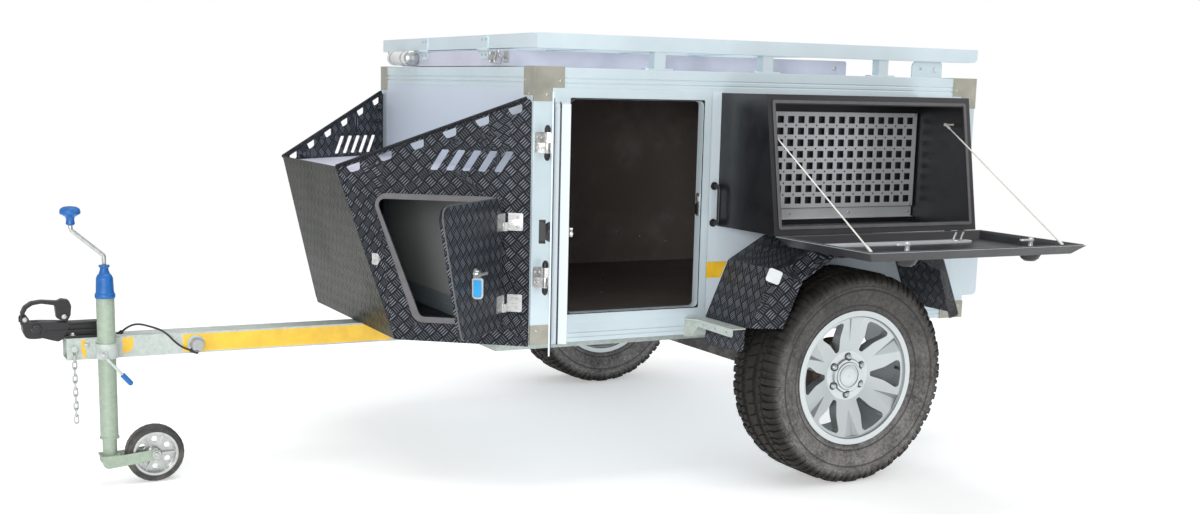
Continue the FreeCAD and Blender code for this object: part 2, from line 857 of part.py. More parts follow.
def fender_profile(inset, lip):
    """The folded arch seen from the side: six corners, the lip drawn in towards the wheel."""
    outer = [(-1, fender_foot_share), (-0.804, 0.823), (-0.465, 1), (0.537, 1), (0.871, 0.838), (1.06, 0.423)]
    inner = [(-0.782, 0.415), (-0.617, 0.748), (-0.332, 0.903), (0.448, 0.903), (0.737, 0.777), (0.893, 0.35)]
    corners = []
    for x_share, z_share in inner if lip else outer:
        x = x_share * fender_ahead
        z = z_share * fender_high
        share = 1 - inset / math.hypot(x, z)
        corners.append(V(wheel_x + x * share, 0, wheel_z + z * share))
    return corners


def arch_block(inset, reach):
    def closed(corners, y):
        points = [V(p.x, y, p.z) for p in corners]
        return Part.makePolygon(points + [points[0]])
    straight = fender_profile(inset, False)
    lip = fender_profile(inset, True)
    y0 = -body_half
    y1 = -body_half - fender_wide
    y2 = y1 - fender_lip
    main = Part.Face(closed(straight, y0 + reach)).extrude(V(0, y1 - y0 - reach, 0))
    edge = Part.makeLoft([closed(straight, y1), closed(lip, y2)], True, True)
    return main, edge


def fender():
    main, edge = arch_block(0, 0)
    hollow, mouth = arch_block(fender_sheet, 1)
    beyond = mouth.copy()
    beyond.translate(V(0, -0.01, 0))
    shell = joined([main, edge]).cut(joined([hollow, mouth])).cut(beyond)
    below = box(fender_front - 10, fender_front + 3 * fender_ahead, -body_half - 2 * fender_wide, -body_half + 10,
                ground, fender_low)
    flap = crosswise([(-body_half - 255, fender_low + 4), (-body_half - 255, fender_low - 92),
                      (-body_half, fender_low - 103), (-body_half, fender_low + 4)], [0, 26, 0, 0],
                     fender_front + 1, fender_front + 1 + fender_sheet)
    return joined([shell.cut(below), flap])


def fender_arm():
    """The galvanised angle, bolted to the body's rail, that carries the fender's front edge."""
    top = fender_low - 4
    x1 = fender_front + 1 - seat
    x0 = x1 - arm_angle
    y0 = -body_half - arm_long
    y1 = -body_half - seat
    flange = slab([(x0, y0), (x1, y0), (x1, y1), (x0 - 34, y1), (x0, y1 - 50)], [10, 4, 0, 4, 20], top - 4, 4)
    web = crosswise([(y0, top), (y0, top - arm_drop), (y1 - 40, top - arm_drop + 4), (y1, top - 64), (y1, top)],
                    [0, 9, 20, 0, 0], x0, x0 + 4)
    foot = upright(rectangle(x0 - 34, x1, top - 66, top), [7, 7, 0, 0], y1 - 3, y1)
    bolt = rod((x0 + 22, y1 - 3, top - 38), (x0 + 22, y1 - 13, top - 38), 12)
    bar = joined([flange, web, foot, bolt])
    for share in (0.3, 0.58, 0.86):
        y = y1 - arm_long * share
        bar = bar.cut(rod((x0 - 1, y, top - arm_drop / 2), (x0 + 5, y, top - arm_drop / 2), 4.5))
    return bar


# Wheels

def around(point, angle):
    """A (radius, sideways) point of a wheel turned about its axle."""
    return (point[0] * math.cos(angle), point[1], point[0] * math.sin(angle))


def band(section, start, end):
    """The flat faces between two angles of a closed (radius, sideways) section."""
    faces = []
    for i, here in enumerate(section):
        back = section[i - 1]
        faces.append([around(back, start), around(here, start), around(here, end), around(back, end)])
    return faces


def both_sides(half):
    """A closed wheel section from the points of one half, bead first."""
    return half + [(r, -s) for r, s in reversed(half)]


def tyre():
    """The tyre in flat facets, with deep shoulder lugs beside a rib that runs all the way round."""
    pitch = 2 * math.pi / tyre_lugs
    bead = (rim_radius + seat) / math.cos(pitch * lug_share / 2)
    floor_radius = tyre_radius - lug_deep
    wall_points = [(bead, rim_half - 4), (flange_radius + 2.5, rim_half - 0.8), (flange_radius + 55, tyre_half),
                   (tyre_radius - 25.5, tyre_half - 7.5)]
    shoulder = (floor_radius, tyre_half - 31)
    lug_out = (tyre_radius, tyre_half - 23)
    lug_in = (tyre_radius, tyre_half - 23 - lug_long)
    lug_foot = (floor_radius, tyre_half - 23 - lug_long)
    rib = [(floor_radius, tread_rib), (tyre_radius, tread_rib - 3)]
    lugged = both_sides(wall_points + [lug_out, lug_in, lug_foot] + rib)
    grooved = both_sides(wall_points + [shoulder, lug_foot] + rib)
    faces = []
    for k in range(tyre_lugs):
        start = k * pitch
        middle = start + pitch * lug_share
        faces += band(lugged, start, middle) + band(grooved, middle, start + pitch)
        for angle in (start, middle):
            for side in (-1, 1):
                lug_end = [wall_points[-1], lug_out, lug_in, lug_foot, shoulder]
                faces.append([around((r, s * side), angle) for r, s in lug_end])
    shape = faceted(faces)
    shape.translate(V(wheel_x, -track_half, wheel_z))
    return shape


def spoke_crease():
    """The wedge cut from a spoke's face: a point near the hub that opens and deepens to the rim."""
    r0 = 124.0
    r1 = rim_radius - rim_wall + 5

    def face_at(r):
        return -spoke_face - (r - 90) * (rim_half - 2 - spoke_face) / (rim_radius - rim_wall + 1 - 90)
    apex = (r0, face_at(r0), 5)
    left = (r1, face_at(r1), -30)
    right = (r1, face_at(r1), 35)
    low = (r1, face_at(r1) + 13, 16)
    over = [(x, y - 12, z) for x, y, z in (apex, left, right)]
    return faceted([[apex, left, low], [apex, low, right], [left, over[1], over[2], right, low],
                    [over[0], over[2], over[1]], [apex, over[0], over[1], left], [apex, right, over[2], over[0]]])


def rim():
    """The cast wheel: barrel, six creased spokes, nut pockets and a domed centre cap."""
    r = rim_radius
    i = rim_radius - rim_wall
    barrel = turned([(i, -rim_half), (r, -rim_half + 1), (r, rim_half - 1), (i, rim_half)], (0, 0, 0))
    lip = [(i, rim_half - 3), (r, rim_half - 3), (flange_radius, rim_half), (flange_radius, rim_half + 7),
           (r - 4, rim_half + 7)]
    flanges = [turned(lip, (0, 0, 0)), mirrored(turned(lip, (0, 0, 0)))]
    face = -spoke_face
    disc = turned([(32, face), (90, face), (i + 1, -rim_half + 2), (i + 1, -rim_half + 36), (132, -hub_face + 4),
                   (88, -hub_face), (32, -hub_face)], (0, 0, 0))
    window = upright([(101, -8), (152, -25), (205, -58), (213, 0), (205, 58), (152, 25), (101, 8)],
                     [7, 60, 12, 150, 12, 60, 7], -150, 20)
    crease = spoke_crease()
    for k in range(spoke_count):
        for cutter, turn in ((window, k), (crease, k + 0.5)):
            cutter = cutter.copy()
            cutter.rotate(V(0, 0, 0), V(0, 1, 0), turn * 360.0 / spoke_count)
            disc = disc.cut(cutter)
    cap = turned([(0, face - 15), (28, face - 14), (38, face - 11.5), (39, face - 9), (42, face - 9),
                  (43, face - 12.5), (49, face - 12), (52, face - 8), (60, face - 8), (64, face - 3),
                  (64, face + 1), (bore_radius, face + 1), (bore_radius, -hub_face), (0, -hub_face)], (0, 0, 0))
    whole = joined([barrel, disc, cap] + flanges)
    for k in range(stud_count):
        angle = math.radians((k + 0.5) * 360.0 / stud_count)
        x = stud_circle * math.cos(angle)
        z = stud_circle * math.sin(angle)
        whole = whole.cut(rod((x, face - 20, z), (x, face + 12, z), pocket_radius))
    whole.translate(V(wheel_x, -track_half, wheel_z))
    return whole


def axle():
    """The crossbeam, a trailing arm at each end, the stub axles and the brake backing plates."""
    beam_x = wheel_x - axle_ahead
    beam_z = body_low - chassis_tube_high - axle_tube / 2
    half = axle_tube / 2
    arm_in = track_half - 276
    arm_out = arm_in + 45
    beam = box(beam_x - half, beam_x + half, -arm_in + 10, arm_in - 10, beam_z - half, beam_z + half)
    web = upright([(beam_x, beam_z - 46), (wheel_x, wheel_z - 36), (wheel_x, wheel_z + 36), (beam_x, beam_z + 46)], 0,
                  -arm_out, -arm_in)
    side = joined([rod((beam_x, -arm_in, beam_z), (beam_x, -arm_out, beam_z), 52),
                   rod((wheel_x, -arm_in, wheel_z), (wheel_x, -arm_out, wheel_z), 40), web,
                   rod((beam_x, -arm_in + 10, beam_z), (beam_x, -arm_in, beam_z), 34),
                   rod((wheel_x, -arm_out, wheel_z), (wheel_x, -track_half - hub_face + 3, wheel_z), stub_radius),
                   rod((wheel_x, -arm_out, wheel_z), (wheel_x, -track_half + 176, wheel_z), 34),
                   rod((wheel_x, -track_half + 52, wheel_z), (wheel_x, -track_half + 48, wheel_z), 125)])
    return joined([beam, side, mirrored(side)])


def hub():
    """The brake drum and wheel flange that turn on the stub axle."""
    bore = stub_radius + run_gap
    return turned([(bore, 0), (60, 0), (60, 6), (127, 6), (127, 70), (118, 70), (118, 16), (45, 16), (45, 60),
                   (bore, 60)], (wheel_x, -track_half - hub_face + seat, wheel_z))


# Chassis

lead_points = [(socket_x - 26, -drawbar_wide / 2 - 34, drawbar_top - 58),
               (socket_x - 62, -drawbar_wide / 2 - 35, drawbar_top - 46),
               (socket_x - 110, -drawbar_wide / 2 - 17, drawbar_top + 12),
               (socket_x - 152, -drawbar_wide / 2 + 12, drawbar_top + 26),
               (socket_x - 192, -drawbar_wide / 2 + 32, drawbar_top + 36),
               (socket_x - 224, -drawbar_wide / 2 + 44, drawbar_top + 26),
               (socket_x - 243, -drawbar_wide / 2 + 51, drawbar_top + 8)]


def drawbar():
    """The square drawbar with the bolt that carries the safety chain."""
    y = drawbar_wide / 2
    low = drawbar_top - drawbar_high
    outer = box(drawbar_front, drawbar_back, -y, y, low, drawbar_top)
    inner = box(drawbar_front - 1, drawbar_back - tube_wall, -y + tube_wall, y - tube_wall, low + tube_wall,
                drawbar_top - tube_wall)
    eye_z = drawbar_top - chain_drop + chain_long - chain_wire - chain_bolt - seat
    x = drawbar_front + chain_back
    shank = rod((x, -y + 1, eye_z), (x, -y - chain_out - 14, eye_z), chain_bolt)
    head = rod((x, -y - chain_out - 8, eye_z), (x, -y - chain_out - 14, eye_z), 10)
    return joined([outer.cut(inner), shank, head])


def lead_socket():
    """The lead's socket and plug on the drawbar's side, and the gland where the lead goes in."""
    y = -drawbar_wide / 2 - seat
    z = drawbar_top - drawbar_high / 2 - 4
    flange = turned([(0, 0), (socket_radius, 0), (socket_radius, -5), (socket_radius - 5, -9), (0, -9)],
                    (socket_x, y, z))
    plug = turned([(0, -8), (23, -8), (23, -30), (20, -38), (0, -38)], (socket_x, y, z))
    start = V(*lead_points[0])
    back = start - V(*lead_points[1])
    back.normalize()
    boot = rod(start + back * seat, start + back * 28, 8)
    end = V(*lead_points[-1])
    ahead = end - V(*lead_points[-2])
    ahead.normalize()
    meets = end + ahead * ((end.z - drawbar_top) / -ahead.z)
    gland = joined([rod(end + ahead * seat, end + ahead * 26, 7.5),
                    rod((meets.x, meets.y, drawbar_top), (meets.x, meets.y, drawbar_top + 4), 12)])
    gland = gland.cut(box(0, socket_x, -drawbar_wide, drawbar_wide, drawbar_top - 40, drawbar_top + seat))
    return Part.makeCompound([joined([flange, plug, boot]), gland])


def trailer_lead():
    """The lead from the plug, forward and up over the drawbar's edge, into its top."""
    lead, bends = bent_rod(lead_points, lead_radius)
    print("trailer_lead bend radii", bends)
    return lead


def chassis():
    """Two long members and the cross members, let in over the drawbar."""
    low = body_low - chassis_tube_high
    half = chassis_tube_wide / 2
    back = body_back - 4
    pieces = []
    for y in (-chassis_half, chassis_half):
        pieces.append(box(body_front, back, y - half, y + half, low, body_low))
    for x in (body_front, drawbar_back, back - chassis_tube_wide):
        pieces.append(box(x, x + chassis_tube_wide, -chassis_half, chassis_half, low, body_low))
    slot = box(body_front - 1, drawbar_back, -drawbar_wide / 2, drawbar_wide / 2, low - 1, drawbar_top)
    return joined(pieces).cut(slot)


# Coupling

def ball_coupling():
    """The cast ball housing with its pivot ears, side bosses and ribs, and its shank on the drawbar."""
    half = coupling_half
    nose = upright([(-42, 26), (-40, 2), (-33, -18), (22, -21), (50, -30), (72, -36), (93, -24), (112, 28),
                    (70, 31), (20, 34), (-34, 34)], [8, 14, 12, 20, 14, 14, 8, 8, 30, 30, 8], -half, half)
    shank = upright([(80, drawbar_top + 8), (drawbar_front + 158, drawbar_top + 8), (drawbar_front + 158, 20),
                     (drawbar_front + 146, 28), (80, 28)], 0, -24, 24)
    foot = upright([(drawbar_front - 2, drawbar_top + seat), (drawbar_front + 166, drawbar_top + seat),
                    (drawbar_front + 160, drawbar_top + 9), (drawbar_front - 2, drawbar_top + 9)], 0, -44, 44)
    ears = []
    for side in (-1, 1):
        y0, y1 = sorted((side * (half - 12), side * half))
        ear = upright([(-48, 30), (-20, 30), (-20, 56), (-48, 56)], [0, 0, 12, 12], y0, y1)
        ears.append(ear.cut(rod((handle_x, y0 - 1, handle_z), (handle_x, y1 + 1, handle_z), handle_pin + seat)))
        ears.append(turned([(0, 0), (15, 0), (14, 6 * side), (0, 7 * side)], (4, side * half, 14)))
        for rise in (0, 16):
            rib = box(30, drawbar_front + 150, *sorted((side * 20, side * (half + 3 - rise / 4))), rise - 2, rise + 3)
            ears.append(rib)
    body = joined([nose, shank, foot, Part.makeSphere(36, V(0, 0, 2))] + ears)
    cup = Part.makeSphere(cup_radius, V(0, 0, 0))
    return body.cut(cup).cut(Part.makeCylinder(cup_radius, 60, V(0, 0, -60)))


def coupling_handle():
    """The looped lever: a strap from the front pivot over to the block that locks behind."""
    half = coupling_half - 12.6
    outer = [(-37, 40), (-45, 62), (-34, 86), (-10, 102), (24, 106), (76, 101), (88, 108), (112, 104), (119, 84),
             (116, 52), (104, 29), (86, 35), (70, 44), (66, 88), (22, 96), (-6, 92), (-24, 80), (-33, 63), (-22, 40)]
    radii = [4, 14, 16, 16, 30, 20, 6, 8, 10, 12, 4, 10, 6, 8, 30, 14, 12, 12, 4]
    loop = upright(outer, radii, -half, half)
    eye = rod((handle_x, -half, handle_z), (handle_x, half, handle_z), 10)
    pivot = rod((handle_x, -coupling_half - 5, handle_z), (handle_x, coupling_half + 5, handle_z), handle_pin)
    lock = rod((94, -half - 5, 48), (94, half + 5, 48), 7)
    return joined([loop, eye, pivot, lock])


def jockey_clamp():
    """The clamp ring on its plate, with the locking lever that hangs outside."""
    y = -drawbar_wide / 2
    z = drawbar_top - drawbar_high / 2
    r = jockey_tube_radius
    ring = rod((jockey_x, jockey_y, z - 26), (jockey_x, jockey_y, z + 26), r + 6)
    plate_back = upright(rectangle(jockey_x - 60, jockey_x + 60, z - 34, z + 34), 8, y - 6, y)
    web = box(jockey_x - 30, jockey_x + 30, y - jockey_gap, y - 5, z - 24, z + 24)
    boss = rod((jockey_x - 18, jockey_y - r + 3, z - 8), (jockey_x - 18, jockey_y - r - 16, z - 8), 11)
    body = joined([ring, plate_back, web, boss])
    body = body.cut(rod((jockey_x, jockey_y, z - 35), (jockey_x, jockey_y, z + 35), r + 0.2))
    start = V(jockey_x - 18, jockey_y - r - 12, z - 8)
    along = V(0.645, 0, -0.764)
    arm = rod(start, start + along * 98, 5)
    grip = rod(start + along * 94, start + along * 134, 9)
    return joined([body, arm, grip, Part.makeSphere(9, start + along * 134)])


def jockey_tube():
    """The outer tube with its lower lip, and the inner tube that slides in it."""
    r = jockey_tube_radius
    low = jockey_tube_low
    return turned_up([(0, fork_top + seat), (jockey_inner_radius, fork_top + seat), (jockey_inner_radius, low),
                      (r + 3, low), (r + 3, low + 6), (r, low + 8), (r, jockey_tube_top), (0, jockey_tube_top)],
                     (jockey_x, jockey_y, 0))


def jockey_cap():
    r = jockey_tube_radius
    return turned_up([(0, 0), (r + 3, 0), (r + 4, 4), (r + 4, 12), (r, 20), (r - 2, 68), (r - 6, 77), (18, 84),
                      (14, 97), (14, 104), (18, 106), (18, jockey_cap_high), (0, jockey_cap_high)],
                     (jockey_x, jockey_y, jockey_tube_top + run_gap))


def jockey_crank():
    foot = jockey_tube_top + jockey_cap_high + run_gap + seat
    rod_piece, bends = bent_rod([(jockey_x, jockey_y, foot), (jockey_x, jockey_y, crank_bend),
                                 (jockey_x - jockey_throw, jockey_y, crank_top - 15),
                                 (jockey_x - jockey_throw, jockey_y, crank_top)], 7, 6.5)
    return rod_piece


def jockey_knob():
    """The mushroom grip on the crank's upright end."""
    return turned_up([(0, 0), (11, 0), (15, 4), (13, 18), (15, 27), (24, 33), (33, 38), (34, 46), (31, 55),
                      (22, 61), (10, 63), (0, 63)], (jockey_x - jockey_throw, jockey_y, crank_top + seat))


def jockey_fork():
    """The trailing fork: two tapering cheeks under a round crown, and the wheel's pin."""
    z = ground + jockey_wheel_radius
    half = jockey_wheel_half + jockey_side
    axle_x = jockey_x + jockey_trail
    outer = [(jockey_x - 30, fork_top), (jockey_x - 30, fork_top - 46), (axle_x - 5, z - 20), (axle_x + 18, z),
             (axle_x - 5, z + 18), (jockey_x + 34, fork_top)]
    cheeks = []
    for side in (-1, 1):
        near, far = sorted((jockey_y + side * half, jockey_y + side * (half + 4)))
        cheeks.append(upright(outer, [8, 22, 14, 14, 14, 6], near, far))
    crown = rod((jockey_x, jockey_y, fork_top - 12), (jockey_x, jockey_y, fork_top), jockey_tube_radius + 2)
    bridge = box(jockey_x - 34, jockey_x + 30, jockey_y - half - 4, jockey_y + half + 4, fork_top - 4.7, fork_top)
    pin = rod((axle_x, jockey_y - half - 8, z), (axle_x, jockey_y + half + 8, z), jockey_pin)
    return joined([crown, bridge, pin] + cheeks)


def jockey_tyre():
    """The small solid tyre, in flat facets."""
    r = jockey_wheel_radius
    w = jockey_wheel_half
    step = 2 * math.pi / jockey_tyre_turns
    section = both_sides([((r - jockey_tread) / math.cos(step / 2), w), (r - 7, w), (r, w - 9)])
    faces = []
    for k in range(jockey_tyre_turns):
        faces += band(section, k * step, (k + 1) * step)
    shape = faceted(faces)
    shape.translate(V(jockey_x + jockey_trail, jockey_y, ground + r))
    return shape


def jockey_disc():
    """The pressed disc: a hub and a rim ring joined by a thin web with round holes between six ribs."""
    r = jockey_wheel_radius - jockey_tread - run_gap
    w = jockey_wheel_half
    bore = jockey_pin + run_gap
    disc = turned([(bore, -w - 2), (17, -w - 2), (22, -w + 6), (22, -4), (r - 9, -4), (r - 9, -w), (r, -w), (r, w),
                   (r - 9, w), (r - 9, 4), (22, 4), (22, w - 6), (17, w + 2), (bore, w + 2)], (0, 0, 0))
    ribs = []
    for k in range(jockey_ribs):
        rib = box(19, r - 8, -w + 9, w - 9, -2.5, 2.5)
        hole = rod((r * 0.63, -10, 0), (r * 0.63, 10, 0), 10)
        rib.rotate(V(0, 0, 0), V(0, 1, 0), k * 360.0 / jockey_ribs)
        hole.rotate(V(0, 0, 0), V(0, 1, 0), (k + 0.5) * 360.0 / jockey_ribs)
        ribs.append(rib)
        disc = disc.cut(hole)
    disc = joined([disc] + ribs)
    disc.translate(V(jockey_x + jockey_trail, jockey_y, ground + jockey_wheel_radius))
    return disc


def chain_link():
    """A welded link: a five-sided wire mitred round an eight-cornered loop."""
    straight = chain_long - chain_wide * math.sin(math.pi / 3)
    quarter = [(chain_wide, -straight), (chain_wide, straight), (chain_wide / 2, chain_long),
               (-chain_wide / 2, chain_long)]
    path = [V(x, 0, z) for x, z in quarter] + [V(-x, 0, -z) for x, z in quarter]
    rings = []
    for i, here in enumerate(path):
        run_in = here - path[i - 1]
        run_out = path[(i + 1) % len(path)] - here
        outward = V(run_in.z, 0, -run_in.x).normalize() + V(run_out.z, 0, -run_out.x).normalize()
        outward.normalize()
        stretch = 1 / outward.dot(V(run_in.z, 0, -run_in.x).normalize())
        ring = []
        for k in range(chain_sides):
            angle = math.pi + 2 * math.pi * k / chain_sides
            ring.append(here + outward * (chain_wire * math.cos(angle) * stretch)
                        + V(0, chain_wire * math.sin(angle), 0))
        rings.append(ring)
    faces = []
    for i, ring in enumerate(rings):
        back = rings[i - 1]
        for k in range(chain_sides):
            faces.append([back[k - 1], back[k], ring[k], ring[k - 1]])
    return faceted(faces)


def safety_chain():
    """The links that hang from the bolt on the drawbar, each turned a quarter from the last."""
    drop = 2 * (chain_long - chain_wire) - seat
    x = drawbar_front + chain_back
    y = -drawbar_wide / 2 - chain_out
    links = []
    for i in range(chain_links):
        link = chain_link()
        link.rotate(V(0, 0, 0), V(0, 0, 1), 90 * (i % 2))
        link.translate(V(x, y, drawbar_top - chain_drop - i * drop))
        links.append(link)
    return Part.makeCompound(links)


# Roof rack

def roof_rack():
    """Side rails on flanged posts, cross bars, rear brackets and the two strap hinges at the front."""
    z0 = rack_low
    z1 = rack_low + rack_tube
    x0 = body_front + rack_setback
    pieces = []
    rail_side = upright([(x0, z0), (body_back, z0), (body_back, z1), (x0, z1)], [3, 20, 5, 3], 0, rack_tube)
    for y in (-body_half, body_half - rack_tube):
        side_rail = rail_side.copy()
        side_rail.translate(V(0, y, 0))
        pieces.append(side_rail)
    span = body_back - x0 - rack_tube
    reach = body_half - rack_tube / 2
    for i in range(rack_slat_count):
        x = x0 + span * i / (rack_slat_count - 1)
        if i == 0:
            pieces.append(box(x, x + rack_tube, -reach, reach, z0 + 2, z1))
        else:
            pieces.append(box(x, x + rack_tube, -reach, reach, z1 - 20, z1 - 2))
    for side in (-1, 1):
        y = side * (body_half - 25)
        for share in post_shares:
            x = body_front + body_length * share
            foot = slab(rectangle(x - 56, x + 56, y - 22, y + 22), 8, body_high + seat, 5)
            pieces += [box(x - 22, x + 22, y - 20, y + 20, body_high + 4, z0 + 1), foot]
        x = body_front + body_length * rear_post_share
        bracket = upright([(x, body_high + seat), (x + 145, body_high + seat), (x + 145, z0 + 1), (x, z0 + 1)],
                          [0, 0, 14, 24], y - 3, y + 3)
        middle = body_high + rack_over_roof / 2
        pieces += [bracket, rod((x + 112, y - 9, middle), (x + 112, y + 9, middle), 9)]
    for y in hinge_straps:
        strap = crosswise(rectangle(y - 32, y + 32, z0 - 34, z1 - 4), 6, x0 - 3, x0)
        barrel = rod((x0 - 8, y - 40, z0 - 1), (x0 - 8, y + 40, z0 - 1), 7)
        pieces += [strap, barrel]
    return joined(pieces)


def roof_tray():
    """The flat locker under the rack."""
    front = body_front + rack_setback + seat
    back = front + body_length * tray_long_share
    return upright(rectangle(front, back, body_high + plate + seat, rack_low - 4), [0, 0, 10, 4],
                   -tray_half, tray_half)


# Rear

def tail_boxes():
    """The folded boxes at the rear that carry the lamps."""
    low = body_low + tail_rise
    piece = upright(rectangle(body_back, body_back + tail_long, low, low + tail_high), [0, 22, 22, 0],
                    -body_half + 2, -body_half + 2 + tail_wide)
    return pair(piece)


def tail_lamps():
    """The square-cornered lamps with a raised rim."""
    x = body_back + tail_long + seat
    y = -body_half + 2 + tail_wide / 2
    z = body_low + tail_rise + tail_high / 2
    base = crosswise(rectangle(y - 76, y + 76, z - 68, z + 68), 12, x, x + 8)
    lens = crosswise(rectangle(y - 70, y + 70, z - 62, z + 62), 10, x + 7, x + 17)
    parting = box(x + 14, x + 18, y - 70, y + 70, z - 2, z + 2)
    return pair(joined([base, lens]).cut(parting))


shut_lid = mirrored(lid())
shut_fittings = mirrored(lid_fittings())
for shape in (shut_lid, shut_fittings):
    shape.rotate(V(0, -lid_y, lid_z), V(1, 0, 0), lid_swing)

nodes = {
    "drawbar": drawbar(),
    "chassis": chassis(),
    "axle": axle(),
    "ball_coupling": ball_coupling(),
    "coupling_handle": coupling_handle(),
    "safety_chain": safety_chain(),
    "lead_socket": lead_socket(),
    "trailer_lead": trailer_lead(),
    "jockey_clamp": jockey_clamp(),
    "jockey_tube": jockey_tube(),
    "jockey_cap": jockey_cap(),
    "jockey_crank": jockey_crank(),
    "jockey_knob": jockey_knob(),
    "jockey_fork": jockey_fork(),
    "jockey_tyre": jockey_tyre(),
    "jockey_disc": jockey_disc(),
    "body_frame": body_frame(),
    "corner_plates": corner_plates(),
    "floor": floor(),
    "roof": roof(),
    "end_walls": Part.makeCompound([end_wall(body_front), end_wall(body_back - wall)]),
    "side_walls": pair(side_wall()),
    "door_frames": pair(door_frame()),
    "left_door": swung(door()),
    "left_door_leaves": swung(door_leaves()),
    "left_door_handle": swung(door_handle()),
    "left_door_latch": swung(door_latch()),
    "right_door": mirrored(door()),
    "right_door_leaves": mirrored(door_leaves()),
    "right_door_handle": mirrored(door_handle()),
    "grab_handles": grab_handles(),
    "hinge_bases": pair(Part.makeCompound(hinge_bases() + hatch_bases())),
    "nose_wings": pair(nose_wing()),
    "nose_front": nose_front_panel(),
    "nose_deck": nose_deck(),
    "nose_floor": nose_floor(),
    "hatch_seals": pair(hatch_seal()),
    "left_hatch": opened_hatch(hatch()),
    "left_hatch_leaves": opened_hatch(hatch_leaves()),
    "right_hatch": mirrored(hatch()),
    "right_hatch_leaves": mirrored(hatch_leaves()),
    "side_boxes": pair(side_box()),
    "mesh_panel": mesh_panel(),
    "lid_stays": lid_stays(),
    "left_lid": lid(),
    "left_lid_fittings": lid_fittings(),
    "right_lid": shut_lid,
    "right_lid_fittings": shut_fittings,
    "fenders": pair(fender()),
    "fender_arms": pair(fender_arm()),
    "roof_rack": roof_rack(),
    "roof_tray": roof_tray(),
    "tail_boxes": tail_boxes(),
    "tail_lamps": tail_lamps(),
}
for side, turn in (("left", lambda shape: shape), ("right", mirrored)):
    nodes[side + "_tyre"] = turn(tyre())
    nodes[side + "_rim"] = turn(rim())
    nodes[side + "_hub"] = turn(hub())

os.makedirs("parts", exist_ok=True)
for name, shape in nodes.items():
    shape.exportStep("parts/" + name + ".step")
    state = "valid" if shape.isValid() else "INVALID"
    print(name, len(shape.Solids), "solids", round(shape.Volume / 1000), "cm3", state)
print(len(nodes), "nodes; door axis", round(hinge_x, 2), round(hinge_y, 2))
print("hatch axis", [round(v, 2) for v in hatch_pivot()])
print("lid axis", round(lid_y, 2), round(lid_z, 2), "swing", round(lid_swing, 2))
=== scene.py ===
# %% [markdown]
# # An off-road box camping trailer
# The trailer is a square aluminium box on a galvanised drawbar. In front of it sits a wedge
# of black tread plate with a hatch on each side, and over each wheel hangs a kitchen box
# whose lid folds down to a table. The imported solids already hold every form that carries
# load. This lesson dresses them: finishes, screws, seals, tape, lamps, tread and light.

# %% Load the frame
import math

import bmesh
import bpy
from mathutils import Matrix, Vector


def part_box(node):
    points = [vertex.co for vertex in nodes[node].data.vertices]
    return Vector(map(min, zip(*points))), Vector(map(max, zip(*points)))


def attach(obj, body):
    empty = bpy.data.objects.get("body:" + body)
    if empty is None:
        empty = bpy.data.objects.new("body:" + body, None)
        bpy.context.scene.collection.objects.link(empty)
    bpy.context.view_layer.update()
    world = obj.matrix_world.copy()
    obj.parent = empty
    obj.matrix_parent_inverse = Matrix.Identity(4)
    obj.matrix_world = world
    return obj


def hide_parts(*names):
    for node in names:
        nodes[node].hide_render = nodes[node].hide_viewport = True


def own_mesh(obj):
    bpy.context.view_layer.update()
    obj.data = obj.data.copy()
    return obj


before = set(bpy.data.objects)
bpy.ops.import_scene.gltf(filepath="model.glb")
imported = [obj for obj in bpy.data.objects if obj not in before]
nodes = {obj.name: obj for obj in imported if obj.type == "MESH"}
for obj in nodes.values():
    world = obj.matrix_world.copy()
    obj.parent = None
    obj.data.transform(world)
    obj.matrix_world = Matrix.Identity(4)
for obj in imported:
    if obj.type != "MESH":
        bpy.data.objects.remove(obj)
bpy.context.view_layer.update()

# %% [markdown]
# ## Sums on sockets
# A finish is mostly arithmetic: a mask times a colour, a wave less a noise. Wiring each Math
# node by hand hides that arithmetic, so one small class wraps a socket and lets Python's own
# operators add the nodes. Colours and vectors have their own mixing calls, because a Math
# node would turn them grey.

# %% A wrapped socket
class Value:
    def __init__(self, finish, socket):
        self.finish = finish
        self.socket = socket

    def math(self, operation, *others):
        return self.finish.add("ShaderNodeMath", {"operation": operation}, [self, *others])

    def __add__(self, other):
        return self.math("ADD", other)

    def __sub__(self, other):
        return self.math("SUBTRACT", other)

    def __mul__(self, other):
        return self.math("MULTIPLY", other)

    def __radd__(self, other):
        return self.math("ADD", other)

    def __rmul__(self, other):
        return self.math("MULTIPLY", other)

    def __rsub__(self, other):
        return self.finish.add("ShaderNodeMath", {"operation": "SUBTRACT"}, [other, self])

    def __gt__(self, other):
        return self.math("GREATER_THAN", other)

    def __lt__(self, other):
        return self.math("LESS_THAN", other)

    def size(self):
        return self.math("ABSOLUTE")

    def floor(self):
        return self.math("FLOOR")

    def fraction(self):
        return self.math("FRACT")

    def ramp(self, low, high):
        """0 below low, 1 above high and smooth between them."""
        return self.finish.add("ShaderNodeMapRange", {"interpolation_type": "SMOOTHSTEP"},
                               {"Value": self, "From Min": low, "From Max": high})


print("a socket can be added, multiplied and compared")


